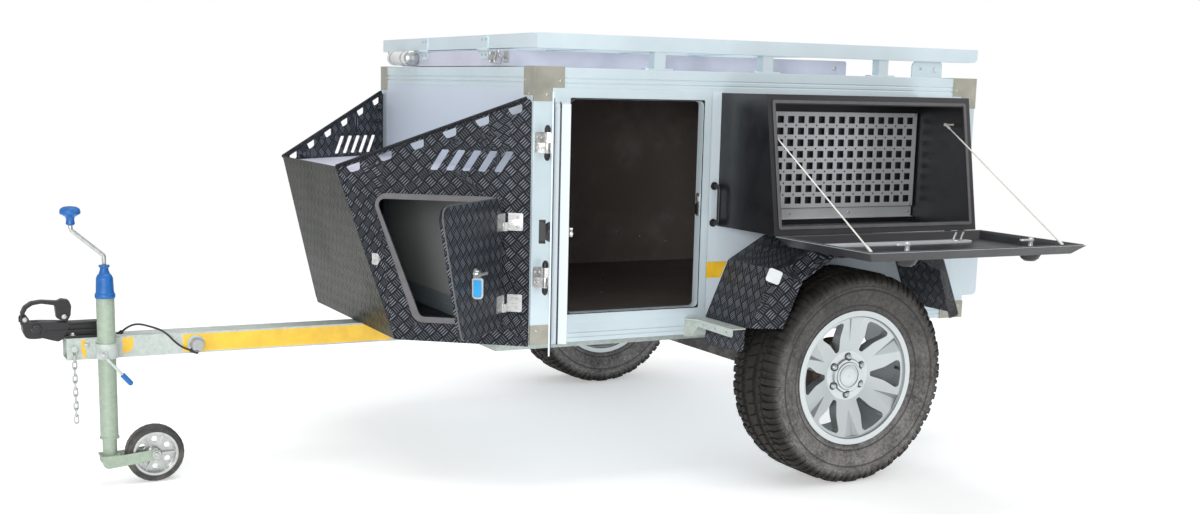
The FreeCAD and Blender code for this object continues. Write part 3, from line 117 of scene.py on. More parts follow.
# %% A finish that grows node by node
class Finish:
    def __init__(self, name, **constants):
        self.material = bpy.data.materials.new(name)
        self.material.use_nodes = True
        self.tree = self.material.node_tree
        self.shader = self.tree.nodes["Principled BSDF"]
        for socket, value in constants.items():
            self.put(self.shader.inputs[socket.replace("_", " ")], value)
        place = self.tree.nodes.new("ShaderNodeTexCoord")
        self.here = Value(self, place.outputs["Object"])
        self.facing = Value(self, place.outputs["Normal"])

    def put(self, socket, value):
        if isinstance(value, Value):
            self.tree.links.new(value.socket, socket)
        elif socket.type == "RGBA" and len(value) == 3:
            socket.default_value = (*value, 1)
        else:
            socket.default_value = value

    def add(self, kind, settings=None, values=(), output=0):
        node = self.tree.nodes.new(kind)
        for name, value in (settings or {}).items():
            setattr(node, name, value)
        pairs = values.items() if isinstance(values, dict) else enumerate(values)
        for name, value in pairs:
            self.put(node.inputs[name], value)
        return Value(self, node.outputs[output])

    def mix(self, share, first, second):
        """A colour between two colours, which are the Mix node's sockets 6 and 7."""
        return self.add("ShaderNodeMix", {"data_type": "RGBA"}, {0: share, 6: first, 7: second}, 2)

    def vector(self, operation, first, second, output=0):
        return self.add("ShaderNodeVectorMath", {"operation": operation}, [first, second], output)

    def axis(self, name, place=None):
        return self.add("ShaderNodeSeparateXYZ", None, [place or self.here], "XYZ".index(name))

    def cloud(self, scale, detail=3.0, rough=0.55, stretch=(1, 1, 1)):
        """Soft noise from 0 to 1, with a feature size of about 1 / scale metres."""
        place = self.vector("MULTIPLY", self.here, stretch)
        return self.add("ShaderNodeTexNoise", None,
                        {"Vector": place, "Scale": scale, "Detail": detail, "Roughness": rough})

    def bump(self, height, depth):
        """Height from 0 to 1 raised by depth metres."""
        raised = self.add("ShaderNodeBump", None, {"Height": height, "Distance": depth})
        self.put(self.shader.inputs["Normal"], raised)

    def paint(self, **sockets):
        for socket, value in sockets.items():
            self.put(self.shader.inputs[socket.replace("_", " ")], value)
        return self.material


print("sockets can be added, multiplied and mixed")

# %% [markdown]
# ## Plain painted and plated finishes
# Most of the trailer is one of a few finishes that differ in colour, gloss and how blotchy
# they are. One recipe with a soft cloud for the blotches and a fine one for the grain covers
# them, so that a new finish is one line. The cloud feeds both the colour and the roughness,
# because a dirty patch is also a dull patch.

# %% The plain recipe
ROAD_DUST = (0.36, 0.31, 0.24)


def plain(name, colour, rough, blotch, blotch_scale, grain=0.0, grain_scale=900.0, metal=0.0,
          stretch=(1, 1, 1), dust=0.0):
    """blotch is how far the colour varies; dust is how thickly it lies near the ground."""
    finish = Finish(name, Metallic=metal)
    cloud = finish.cloud(blotch_scale, 4.0, 0.6, stretch).ramp(0.25, 0.75)
    dark = tuple(c * (1 - blotch) for c in colour)
    light = tuple(min(1.0, c * (1 + blotch * 0.6)) for c in colour)
    shade = finish.mix(cloud, dark, light)
    if dust:
        low_down = 1 - finish.axis("Z").ramp(-0.5, 0.25)
        patches = finish.cloud(9.0, 5.0, 0.7).ramp(0.42, 0.7)
        shade = finish.mix(low_down * patches * dust, shade, ROAD_DUST)
    if grain:
        finish.bump(finish.cloud(grain_scale, 2.0, 0.5, stretch), grain)
    return finish.paint(Base_Color=shade, Roughness=rough * 0.85 + cloud * (rough * 0.3))


print("one recipe for plain finishes")

# %% The plain finishes
# Each line gives the colour, the roughness, how far the colour varies, blotches a metre, the
# grain's depth in metres, grains a metre and how much of a metal it is.
rail_finish = plain("pale anodised rail", (0.65, 0.76, 0.81), 0.36, 0.06, 3.0, 0.00002, 500.0, 0.25)
black_coat = plain("black powder coat", (0.012, 0.012, 0.014), 0.36, 0.25, 14.0, 0.00012, 1100.0, dust=0.35)
black_plastic = plain("moulded black plastic", (0.013, 0.013, 0.015), 0.42, 0.2, 30.0, 0.00004, 1500.0)
blue_plastic = plain("moulded blue plastic", (0.010, 0.12, 0.40), 0.38, 0.15, 40.0, 0.00002)
tag_blue = plain("sky blue plastic", (0.02, 0.36, 0.78), 0.35, 0.1, 60.0, 0.00002)
zinc = plain("bright zinc", (0.52, 0.54, 0.53), 0.32, 0.18, 60.0, 0.00001, 1200.0, 0.8)
stainless = plain("brushed stainless", (0.6, 0.6, 0.59), 0.3, 0.08, 20.0, 0.00002, 900.0, 0.85, (1, 1, 12))
bracket_steel = plain("dull corner steel", (0.42, 0.41, 0.35), 0.42, 0.14, 16.0, 0.00002, 800.0, 0.6)
deck_grey = plain("grey sheet", (0.58, 0.59, 0.69), 0.42, 0.1, 6.0)
seal_grey = plain("grey rubber seal", (0.10, 0.10, 0.105), 0.55, 0.2, 25.0, 0.00005, 700.0)
hatch_rubber = plain("dusty flat seal", (0.13, 0.125, 0.13), 0.6, 0.2, 18.0, 0.00005, 700.0)
roller_rubber = plain("small wheel rubber", (0.03, 0.03, 0.032), 0.55, 0.3, 30.0, 0.0001, 500.0, dust=0.25)
axle_black = plain("black axle paint", (0.014, 0.014, 0.015), 0.5, 0.3, 12.0, 0.0001, 500.0, dust=0.7)
drum_iron = plain("rusty iron", (0.12, 0.09, 0.07), 0.7, 0.35, 30.0, 0.0002, 400.0, 0.4)
white_plastic = plain("white plastic tube", (0.78, 0.79, 0.79), 0.3, 0.05, 12.0, 0.00001, 600.0)
stay_white = plain("coated rod", (0.72, 0.71, 0.66), 0.35, 0.12, 30.0, 0.00001)
lead_rubber = plain("black cable sheath", (0.016, 0.015, 0.015), 0.5, 0.2, 40.0, 0.00003)
punched_sheet = plain("punched aluminium", (0.68, 0.7, 0.72), 0.4, 0.06, 8.0, 0.00001, 600.0, 0.45)
print(len(bpy.data.materials), "finishes so far")

# %% [markdown]
# ## Painted alloy rims
# On a cast rim the spoke faces that look straight out along the axle catch the light, and the
# sides that lean into the pockets stay in shade. Two materials would need the faces picked by
# hand. The way a face looks tells them apart as well, so one finish has painted light where it
# looks straight out along the axle and painted shade where it leans.

# %% Rim paint
rim_paint = Finish("silver painted alloy", Metallic=0.5)
# Painted light and shade: bright on faces that look along the axle, dark on those that lean.
painted_light_on_level_faces = rim_paint.axis("Y", rim_paint.facing).size().ramp(0.86, 0.995)
rim_cloud = rim_paint.cloud(10.0, 4.0, 0.6)
rim_painted_light_and_shade = rim_paint.mix(painted_light_on_level_faces * (0.9 + rim_cloud * 0.1), (0.28, 0.30, 0.305), (0.70, 0.75, 0.76))
rim_silver = rim_paint.paint(Base_Color=rim_painted_light_and_shade, Roughness=0.34 + rim_cloud * 0.1)
print("the rims are bright where they look straight out")

# %% [markdown]
# ## Hot-dip galvanising
# Zinc freezes on steel in flat crystals, the spangle, each with its own dull shade. A Voronoi
# texture gives such cells, and their random colour drives shade and roughness together. A
# greenish grey, a cloud of stains and upright streaks keep it from looking like polished
# metal. The jockey wheel's tube is duller than the drawbar, so the recipe takes two shades.

# %% Galvanised steel
SPANGLE = 90.0


def galvanising(name, dark=(0.44, 0.49, 0.46), light=(0.61, 0.67, 0.64)):
    """Spangled zinc as a finish, with its colour and roughness still to be used."""
    steel = Finish(name, Metallic=0.2)
    crystal = steel.add("ShaderNodeTexVoronoi", None, {"Vector": steel.here, "Scale": SPANGLE}, "Color")
    grain = steel.axis("X", crystal)
    stain = steel.cloud(7.0, 5.0, 0.65).ramp(0.35, 0.7)
    streak = steel.cloud(30.0, 3.0, 0.6, (1, 1, 0.12)).ramp(0.45, 0.75)
    tone = steel.mix(grain * 0.5 + stain * 0.35 + streak * 0.15, dark, light)
    steel.bump(steel.cloud(260.0, 3.0), 0.0002)
    return steel, tone, 0.5 + grain * 0.12 + stain * 0.1


galvanised, tone, rough = galvanising("galvanised steel")
galvanised.paint(Base_Color=tone, Roughness=rough)
tube_steel, tone, rough = galvanising("galvanised tube", (0.30, 0.37, 0.29), (0.41, 0.49, 0.40))
tube_steel.paint(Base_Color=tone, Roughness=rough)
print("galvanised steel has spangle cells of", round(1000 / SPANGLE), "mm")

# %% [markdown]
# ## A blue grip on the clamp's handle
# The jockey clamp and its handle are one solid, and the handle's end is dipped in blue plastic.
# A step along the handle, kept to its side of the drawbar, gives that end its own colour.

# %% The clamp and its grip
HANDLE_ROOT = (0.2, -0.148, -0.0705)
HANDLE_WAY = (0.645, 0.0, -0.764)
GRIP_START = 0.0935
HANDLE_SIDE = -0.13
clamp_steel, tone, rough = galvanising("clamp with a blue grip")
reach = clamp_steel.vector("SUBTRACT", clamp_steel.here, HANDLE_ROOT)
along = clamp_steel.vector("DOT_PRODUCT", reach, HANDLE_WAY, "Value")
grip = (along > GRIP_START) * (clamp_steel.axis("Y") < HANDLE_SIDE)
clamp_shade = clamp_steel.mix(grip, tone, (0.012, 0.13, 0.42))
clamp_steel.paint(Base_Color=clamp_shade, Roughness=rough, Metallic=0.2 - grip * 0.2)
print("the grip starts", round(GRIP_START * 1000), "mm along the handle")

# %% [markdown]
# ## Black tread plate
# The wedge and the arches are rolled plate: groups of four short bars, each group square to
# its neighbours, set at 45 degrees to the sheet. Modelling thousands of bars would be slow, so
# they are bump. Each flat facet gets its own level grid: one axis is level and the other runs
# up the facet, both worked out from the facet's own normal, so one finish fits every slope.
# The bars carry a painted highlight, brighter on every other group, where the light would catch
# one way of bars more than the other, and broken up by a cloud of wear. Those of the front plate
# carry a painted reflection of the ground ahead instead, so they are darker and greener.

# %% A grid of bars on any slope
BAR_GROUP = 0.033
BARS = 4
group = BAR_GROUP * math.sqrt(2)
tread_plate = Finish("black tread plate", Specular_IOR_Level=0.15)
level_way = tread_plate.vector("CROSS_PRODUCT", (0.001, 0.0, 1.0), tread_plate.facing)
level = tread_plate.vector("NORMALIZE", level_way, (0, 0, 0))
uphill = tread_plate.vector("CROSS_PRODUCT", tread_plate.facing, level)
along = tread_plate.vector("DOT_PRODUCT", tread_plate.here, level, "Value")
across = tread_plate.vector("DOT_PRODUCT", tread_plate.here, uphill, "Value")
first = (along + across) * (1 / group)
second = (along - across) * (1 / group)
odd = ((first.floor() + second.floor()) * 0.5).fraction() * 2
u = first.fraction() - 0.5
v = second.fraction() - 0.5
lengthwise = u * odd + v * (1 - odd)
sideways = v * odd + u * (1 - odd)
rib = ((sideways + 0.5) * BARS).fraction() - 0.5
taper = 1 - (lengthwise.size() * 2).ramp(0.55, 0.92)
bar = (1 - rib.size().ramp(0.1, 0.38)) * taper
print("groups", round(group * 1000, 1), "mm apart with", BARS, "bars each")

# %% Black tread plate
BAR_HEIGHT = 0.0045
FRONT_PLATE_END = 1.3
wear = tread_plate.cloud(5.0, 5.0, 0.65).ramp(0.35, 0.7)
tread_plate.bump(bar + tread_plate.cloud(900.0, 2.0) * 0.04, BAR_HEIGHT)
front = (tread_plate.axis("X", tread_plate.facing) < -0.85) * (tread_plate.axis("X") < FRONT_PLATE_END)
# Painted highlight on the bar tops, stronger on every other group, broken up by a cloud of wear.
worn = bar * (0.5 + odd * 0.5) * (0.7 + wear * 0.3)
# The bars' painted highlight is bluish grey; on the front plate it is a darker, greener painted reflection of
# the ground ahead.
bright = tread_plate.mix(front, (0.24, 0.26, 0.31), (0.10, 0.115, 0.07))
tread_plate.paint(Base_Color=tread_plate.mix(worn, (0.008, 0.009, 0.011), bright),
                  Roughness=0.34 + wear * 0.1 - bar * 0.1)
print("bars stand", BAR_HEIGHT * 1000, "mm high in the bump")

# %% [markdown]
# ## Dark lining inside pale panels
# The box's panels are pale outside and lined with dark film-faced ply inside. A panel is one
# solid, so its finish changes with place: whatever lies within the cabin's own walls is
# lining, and the mask is a product of steps at the inner faces. The left door stands open, so
# its mask is one step along the way that its inner face has turned to. Faint scuffs and pale
# specks of dust make the lining read as a real surface in the dark. The front wall carries a
# painted reflection of the sky, a bluer tint than the sides, and below the nose's deck painted
# light, a paler and greener colour.

# %% A lined panel
FRONT_WALL = 1.51
FRONT_HALF_WIDTH = 0.68
DECK_HEIGHT = 0.53


def panel_finish(name, lined_share):
    """Pale sheet outside and film-faced ply wherever lined_share, made of the place, says so."""
    panel = Finish(name, Specular_IOR_Level=0.3)
    x, y, z = (panel.axis(axis) for axis in "XYZ")
    scuff = panel.cloud(3.0, 6.0, 0.7).ramp(0.45, 0.8)
    speck = panel.cloud(150.0, 1.0).ramp(0.71, 0.76)
    front = (x < FRONT_WALL) * (y.size() < FRONT_HALF_WIDTH)
    # Painted reflection: the front wall is tinted bluer than the sides, for the sky it mirrors.
    pale = panel.mix(front * 0.8, (0.62, 0.70, 0.76), (0.58, 0.65, 0.75))
    # Painted light: below the nose's deck the front wall is painted paler and greener.
    pale = panel.mix(front * (z < DECK_HEIGHT), pale, (0.84, 0.87, 0.84))
    lining = panel.mix(scuff * 0.6, (0.22, 0.19, 0.175), (0.46, 0.42, 0.40))
    lining = panel.mix(speck * 0.35, lining, (0.45, 0.42, 0.40))
    panel.bump(panel.cloud(300.0, 2.0), 0.00003)
    shade = panel.mix(lined_share(x, y, z), pale, lining)
    return panel.paint(Base_Color=shade, Roughness=0.42 + scuff * 0.1)


print("a panel is pale outside and lined inside")

# %% The cabin and the open door
CABIN_SIDE = 0.7425
CABIN_FRONT, CABIN_REAR = 1.5335, 3.3805
CABIN_FLOOR, CABIN_ROOF = 0.03, 0.9005
DOOR_AXIS = Vector((1.545, -0.8, 0))
DOOR_OPEN = math.radians(115.7)
DOOR_LINING = 0.0694


def cabin(x, y, z):
    between = (y.size() < CABIN_SIDE) * (x > CABIN_FRONT) * (x < CABIN_REAR)
    return between * (z < CABIN_ROOF) * (z > CABIN_FLOOR)


def open_door_face(x, y, z):
    """1 past the door's outer skin, measured from the hinge and through the open door."""
    ahead, aside = x - DOOR_AXIS.x, y - DOOR_AXIS.y
    return (ahead * math.sin(DOOR_OPEN) + aside * math.cos(DOOR_OPEN)) > DOOR_LINING


lined_panel = panel_finish("pale panel with a dark lining", cabin)
door_panel = panel_finish("pale door with a dark lining", open_door_face)
print("the cabin is lined over", round(CABIN_REAR - CABIN_FRONT, 2), "metres")

# %% [markdown]
# ## Tyre rubber
# Off-road tyres on a dirt road are brown-grey: dust lies on the sidewall, and the wall is
# paler towards the bottom, while the tread stays dark. The distance from the axle tells tread
# from sidewall, and clouds break the dust up. Two raised rings on the wall are rubbed black.
# Rubber has no metal in it and a rough, soft sheen.

# %% Where the rubber is
WHEEL_X, WHEEL_Y, WHEEL_Z = 2.656, 0.976, -0.1475
tyre_rubber = Finish("dusty tyre rubber", Specular_IOR_Level=0.3)
ahead = tyre_rubber.axis("X") - WHEEL_X
rise = tyre_rubber.axis("Z") - WHEEL_Z
radius = (ahead * ahead + rise * rise).math("SQRT")
wall = 1 - radius.ramp(0.338, 0.372)
low_down = 1 - rise.ramp(-0.25, 0.3)


def wall_ring(start, top, edge, end):
    """1 on a ring that climbs from the radius start to top and falls from edge to end."""
    return radius.ramp(start, top) - radius.ramp(edge, end)


ridge = wall_ring(0.262, 0.265, 0.267, 0.27) + wall_ring(0.318, 0.321, 0.324, 0.327)
print("two rings on each sidewall")

# %% Dusty rubber
dust_cloud = tyre_rubber.cloud(10.0, 6.0, 0.6).ramp(0.25, 0.75)
fine_cloud = tyre_rubber.cloud(80.0, 4.0, 0.7).ramp(0.35, 0.7)
streak = tyre_rubber.cloud(150.0, 4.0, 0.7).ramp(0.38, 0.66)
dirty = dust_cloud * 0.6 + fine_cloud * 0.4
tread_tone = tyre_rubber.mix(dirty, (0.006, 0.006, 0.0055), (0.030, 0.026, 0.021))
# Dust clouds on the sidewall, made paler towards the bottom.
wall_dust_paler_low = (dirty * 0.75 + streak * 0.25) * (0.35 + low_down * 0.65)
wall_tone = tyre_rubber.mix(wall_dust_paler_low, (0.026, 0.025, 0.025), (0.31, 0.297, 0.287))
wall_tone = tyre_rubber.mix(ridge * 0.7, wall_tone, (0.03, 0.028, 0.027))
tyre_rubber.bump(tyre_rubber.cloud(350.0, 3.0) * 0.3 + ridge, 0.0014)
tyre_rubber.paint(Base_Color=tyre_rubber.mix(wall, tread_tone, wall_tone), Roughness=0.6 + dirty * 0.2)
print("tyre rubber is ready")

# %% [markdown]
# ## Lenses and reflectors
# Lenses are clear plastic over a bright prism sheet. At this distance the prisms are a fine
# grid of facets, so a grid of small pyramids as bump over a strong colour is enough. The
# orange strip on the drawbar is the same kind of sheet with a rubbed surface.

# %% Reflecting sheets
PRISM = 0.004


def reflector(name, colour):
    sheet = Finish(name, Roughness=0.22, Coat_Weight=0.5, Coat_Roughness=0.08)
    cells = [(sheet.axis(axis) * (1 / PRISM)).fraction() - 0.5 for axis in "XYZ"]
    pyramid = (cells[0].size() + cells[1].size() + cells[2].size()) * 0.7
    rubbed = sheet.cloud(14.0, 4.0, 0.6).ramp(0.3, 0.75)
    sheet.bump(pyramid, 0.0004)
    dull = tuple(c * 0.8 for c in colour)
    return sheet.paint(Base_Color=sheet.mix(rubbed, dull, colour))


orange_tape = reflector("orange reflecting tape", (0.97, 0.60, 0.035))
white_reflector = reflector("white reflector", (0.78, 0.82, 0.84))
print("two reflecting sheets with prisms of", PRISM * 1000, "mm")

# %% [markdown]
# ## One socket of three materials
# The lead's socket is a grey-blue flange, a bright plug and black rubber, packed as one solid.
# Distance from its axis and depth tell the three apart. The distance is left squared, which
# saves a root: 30 mm for the flange and 23 mm for the plug.

# %% Socket
SOCKET_X, SOCKET_Z = 0.531, -0.0665
socket_finish = Finish("lead socket")
x, y, z = (socket_finish.axis(name) for name in "XYZ")
aside, above = x - SOCKET_X, z - SOCKET_Z
off_axis = aside * aside + above * above
flange_mask = (y < -0.0501) * (y > -0.0596) * (off_axis < 0.00092)
plug_mask = (y < -0.0583) * (off_axis < 0.00054)
colour = socket_finish.mix(flange_mask, (0.014, 0.014, 0.015), (0.42, 0.55, 0.62))
colour = socket_finish.mix(plug_mask, colour, (0.42, 0.43, 0.44))
socket_finish.bump(socket_finish.cloud(600.0, 2.0), 0.00004)
socket_finish.paint(Base_Color=colour, Roughness=0.4 - plug_mask * 0.1, Metallic=plug_mask * 0.7)
print("socket in three materials")

# %% [markdown]
# ## Lamps of two colours
# Each tail lamp is red above its parting line and clear below, in a black base. A tail lamp is
# one solid too, so its height and its depth choose the colour.

# %% Tail lamps
LAMP_PARTING = 0.172
LAMP_BASE = 3.4855
LENS_CELLS = 180.0
lamp_lens = Finish("tail lamp lens", Roughness=0.15, Coat_Weight=0.6, Coat_Roughness=0.05)
cells = [(lamp_lens.axis(axis) * LENS_CELLS).fraction() - 0.5 for axis in "YZ"]
lamp_lens.bump((cells[0].size() + cells[1].size()) * 0.9, 0.0006)
above = lamp_lens.axis("Z") > LAMP_PARTING
base = lamp_lens.axis("X") < LAMP_BASE
lens_colour = lamp_lens.mix(above, (0.62, 0.63, 0.62), (0.45, 0.012, 0.01))
lamp_lens.paint(Base_Color=lamp_lens.mix(base, lens_colour, (0.02, 0.02, 0.02)))
print("lamps are red over clear")

# %% [markdown]
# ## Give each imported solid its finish
# Solids whose shape is right stay in view. They only take a finish, and two modifiers that
# leave their points alone: a weld, because an imported mesh is split along its sharp edges,
# and a narrow bevel, because no real edge is a knife and the bevel is what catches the light.
# The rims go without, because their creases lie too close together for a bevel.

# %% Which solid has which finish
finish_of = {
    galvanised.material: ["drawbar", "chassis", "fender_arms"],
    tube_steel.material: ["jockey_tube", "jockey_fork"],
    clamp_steel.material: ["jockey_clamp"],
    lead_rubber: ["trailer_lead"],
    socket_finish.material: ["lead_socket"],
    roller_rubber: ["jockey_tyre"],
    axle_black: ["axle"],
    black_coat: ["side_boxes", "left_lid", "right_lid"],
    black_plastic: ["ball_coupling", "coupling_handle", "left_door_handle", "right_door_handle",
                    "grab_handles"],
    zinc: ["safety_chain", "jockey_crank", "jockey_disc", "left_door_latch", "lid_stays"],
    blue_plastic: ["jockey_cap", "jockey_knob"],
    tyre_rubber.material: ["left_tyre", "right_tyre"],
    rail_finish: ["body_frame", "door_frames", "roof_rack"],
    bracket_steel: ["corner_plates"],
    lined_panel: ["floor", "roof", "end_walls", "side_walls", "right_door", "tail_boxes"],
    door_panel: ["left_door"],
    stainless: ["left_door_leaves", "right_door_leaves", "hinge_bases", "left_hatch_leaves",
                "right_hatch_leaves"],
    tread_plate.material: ["nose_wings", "nose_front", "nose_floor", "left_hatch", "right_hatch",
                           "fenders"],
    deck_grey: ["nose_deck", "roof_tray"],
    hatch_rubber: ["hatch_seals"],
    punched_sheet: ["mesh_panel", "left_lid_fittings", "right_lid_fittings"],
    lamp_lens.material: ["tail_lamps"],
    rim_silver: ["left_rim", "right_rim"],
    drum_iron: ["left_hub", "right_hub"],
}
print(len(finish_of), "finishes on the solids")

# %% Dress the solids
SHARP = math.radians(32)
WELD_REACH = 0.00001
EDGE_WIDTH = 0.0008


def bevelled(thing, width):
    bevel = thing.modifiers.new("edges", "BEVEL")
    bevel.width = width
    bevel.segments = 2
    bevel.limit_method = "ANGLE"
    bevel.angle_limit = SHARP


def dress(solid, material):
    solid.data.materials.clear()
    solid.data.materials.append(material)
    if material != rim_silver:
        weld = solid.modifiers.new("weld", "WELD")
        weld.merge_threshold = WELD_REACH
        bevelled(solid, EDGE_WIDTH)


for material, names in finish_of.items():
    for name in names:
        dress(nodes[name], material)
dressed = {name for names in finish_of.values() for name in names}
print(len(dressed), "solids dressed;", "left over:", sorted(set(nodes) - dressed))

# %% [markdown]
# ## Small things as joined meshes
# Screws, seals, tape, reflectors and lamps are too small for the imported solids, yet they are
# what makes the trailer look built. One object for each screw would be a mess, so a Pieces
# bag collects points and faces and ends as one object on one body. It knows five ways to
# make a thing: turn a profile, raise a flat outline, sweep a round rod, ring an outline and
# box two corners. Sizes in it are metres in the trailer's own frame.

# %% A bag of pieces
TIP = 0.0001


class Pieces:
    def __init__(self):
        self.points = []
        self.faces = []

    def skin(self, rings, loop=False):
        """Faces from each ring of points to the next, with flat ends unless the rings loop."""
        start = len(self.points)
        count = len(rings[0])
        for ring in rings:
            self.points += [Vector(point) for point in ring]
        steps = len(rings) if loop else len(rings) - 1
        for step in range(steps):
            low = start + step * count
            high = start + (step + 1) % len(rings) * count
            for i in range(count):
                j = (i + 1) % count
                self.faces.append((low + i, low + j, high + j, high + i))
        if not loop:
            self.faces.append(tuple(range(start + count - 1, start - 1, -1)))
            self.faces.append(tuple(range(start + steps * count, start + steps * count + count)))

    def turned(self, place, axis, profile, sides=20, turn=0.0):
        """A profile of (height, radius) pairs turned about an axis."""
        along = Vector(axis).normalized()
        side = along.orthogonal().normalized()
        other = along.cross(side)
        angles = [turn + 2 * math.pi * k / sides for k in range(sides)]
        spokes = [side * math.cos(a) + other * math.sin(a) for a in angles]
        self.skin([[Vector(place) + along * high + spoke * radius for spoke in spokes]
                   for high, radius in profile])

    def raised(self, outline, place, across, upward, thick):
        """A flat outline raised by thick along across x upward."""
        across, upward = Vector(across), Vector(upward)
        out = across.cross(upward).normalized() * thick
        ring = [Vector(place) + across * a + upward * b for a, b in outline]
        self.skin([ring, [point + out for point in ring]])

    def ringed(self, outer, inner, place, across, upward, thick):
        """The raised strip between two outlines that have as many points."""
        across, upward = Vector(across), Vector(upward)
        out = across.cross(upward).normalized() * thick
        foot, inside = ([Vector(place) + across * a + upward * b for a, b in outline]
                        for outline in (outer, inner))
        self.skin([foot, [p + out for p in foot], [p + out for p in inside], inside], loop=True)

    def rod(self, route, radius, sides=12):
        """A round rod along a route of points."""
        route = [Vector(point) for point in route]
        rings = []
        side = (route[1] - route[0]).orthogonal().normalized()
        for i, here in enumerate(route):
            along = (route[min(i + 1, len(route) - 1)] - route[max(i - 1, 0)]).normalized()
            side = (side - along * side.dot(along)).normalized()
            other = along.cross(side)
            angles = [2 * math.pi * k / sides for k in range(sides)]
            rings.append([here + (side * math.cos(a) + other * math.sin(a)) * radius for a in angles])
        self.skin(rings)

    def box(self, low, high):
        flat = [(low[0], low[1]), (high[0], low[1]), (high[0], high[1]), (low[0], high[1])]
        self.raised(flat, (0, 0, low[2]), (1, 0, 0), (0, 1, 0), high[2] - low[2])

    def screw(self, place, axis, radius):
        """A domed screw head."""
        high = radius * 0.55
        profile = [(0, radius), (high * 0.3, radius), (high * 0.75, radius * 0.78),
                   (high, radius * 0.4), (high, TIP)]
        self.turned(place, axis, profile, 14)

    def bolt(self, place, axis, across, turn=0.3):
        """A washer and a chamfered hexagon head."""
        reach = across / math.sqrt(3)
        self.turned(place, axis, [(0, across * 0.95), (across * 0.12, across * 0.95)], 24)
        foot = Vector(place) + Vector(axis).normalized() * across * 0.12
        high = across * 0.62
        self.turned(foot, axis, [(0, reach), (high * 0.85, reach), (high, reach * 0.86)], 6, turn)

    def mirrored(self):
        """The same pieces again on the trailer's right."""
        start = len(self.points)
        self.points += [Vector((p.x, -p.y, p.z)) for p in self.points]
        self.faces += [tuple(i + start for i in reversed(face)) for face in self.faces]
        return self

    def moved(self, matrix):
        self.points = [matrix @ point for point in self.points]
        return self

    def copied(self, side="left", turn=None):
        """A copy for one side of the trailer, turned to where it rests."""
        copy = Pieces()
        across = -1 if side == "right" else 1
        copy.points = [Vector((p.x, p.y * across, p.z)) for p in self.points]
        copy.faces = list(self.faces)
        return copy.moved(turn) if turn else copy

    def made(self, name, body, material, edge=0.0):
        """One object on one body, smooth but for its sharp edges."""
        mesh = bpy.data.meshes.new(name)
        mesh.from_pydata(self.points, [], self.faces)
        grown = bmesh.new()
        grown.from_mesh(mesh)
        bmesh.ops.recalc_face_normals(grown, faces=grown.faces)
        grown.to_mesh(mesh)
        grown.free()
        mesh.materials.append(material)
        mesh.shade_smooth()
        mesh.set_sharp_from_angle(angle=SHARP)
        thing = bpy.data.objects.new(name, mesh)
        bpy.context.scene.collection.objects.link(thing)
        if edge:
            bevelled(thing, edge)
        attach(thing, body)
        return thing


print("pieces can be turned, raised, ringed, swept and boxed")


# %% Outlines
def rounded(points, radius, steps=5):
    """An outline with its corners rounded; radius is one number or one for each corner."""
    count = len(points)
    radii = radius if isinstance(radius, (list, tuple)) else [radius] * count
    loop = []
    for i in range(count):
        here = Vector(points[i])
        back = (Vector(points[i - 1]) - here).normalized()
        ahead = (Vector(points[(i + 1) % count]) - here).normalized()
        half = back.angle(ahead) / 2
        reach = radii[i] / math.tan(half)
        start, end = here + back * reach, here + ahead * reach
        for k in range(steps + 1):
            share = k / steps
            loop.append(start * (1 - share) ** 2 + here * (2 * share * (1 - share)) + end * share ** 2)
    return [(point.x, point.y) for point in loop]


def square(x0, x1, z0, z1):
    return [(x0, z0), (x1, z0), (x1, z1), (x0, z1)]


def grown(x0, x1, z0, z1, by, radius):
    """A rectangle grown outward by so much, or shrunk where that is below zero."""
    return rounded(square(x0 - by, x1 + by, z0 - by, z1 + by), radius)


def full_turn(steps):
    return [2 * math.pi * k / steps for k in range(steps + 1)]


print("a rounded square has", len(rounded(square(0, 1, 0, 1), 0.1)), "points")

# %% [markdown]
# ## Where the moving parts rest
# At rest the left door and hatch stand open and the right lid is shut. What rides on a door or
# a hatch is made on the left with the leaf shut, where places are easy to give, and what rides
# on a lid is made on the left with the lid open. A copy for each side is then turned about the
# hinge, where that side rests the other way.

# %% Turns about the hinges
X, Y, Z = Vector((1, 0, 0)), Vector((0, 1, 0)), Vector((0, 0, 1))
HATCH_AXIS = Vector((1.42191, -0.72481, 0))
HATCH_OPEN = math.radians(80.0)
LID_AXIS = Vector((0, 1.15, 0.373))
LID_SHUT = math.radians(99.72)


def about(point, angle, axis):
    """A turn about a line through a point."""
    return Matrix.Translation(point) @ Matrix.Rotation(angle, 4, axis) @ Matrix.Translation(-point)


rest_turn = {
    "left_door": about(DOOR_AXIS, -DOOR_OPEN, "Z"),
    "left_hatch": about(HATCH_AXIS, HATCH_OPEN, "Z"),
    "right_lid": about(LID_AXIS, LID_SHUT, "X"),
}


def on_both(bag, name, part, material, edge=0.0):
    """The same pieces on both sides, each riding on its side's door, hatch or lid."""
    for side in ("left", "right"):
        copy = bag.copied(side, rest_turn.get(side + "_" + part))
        copy.made(side + "_" + name, side + "_" + part + "_body", material, edge)


print(len(rest_turn), "parts rest turned away from where their pieces are made")

# %% [markdown]
# ## Off-road tyres
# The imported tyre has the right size, 28 deep lugs and a rib in the middle. A real one of this
# kind has more: each lug is cut in two, a smaller lug stands in the gap, a middle row is
# offset, and a raised ring runs round the sidewall. All of that is one height written over a
# grid: the profile runs from bead to bead, the other way runs round the wheel, and each lug
# edge gets two grid lines close together, so the walls are steep without a dense mesh.

# %% The tyre's rows of lugs and its profile
LUGS = 28
EDGE = 0.016
SLANT, SLANT_REACH = 0.9, 0.07
TREAD_RADIUS, LUG_HEIGHT = 0.3790, 0.0085
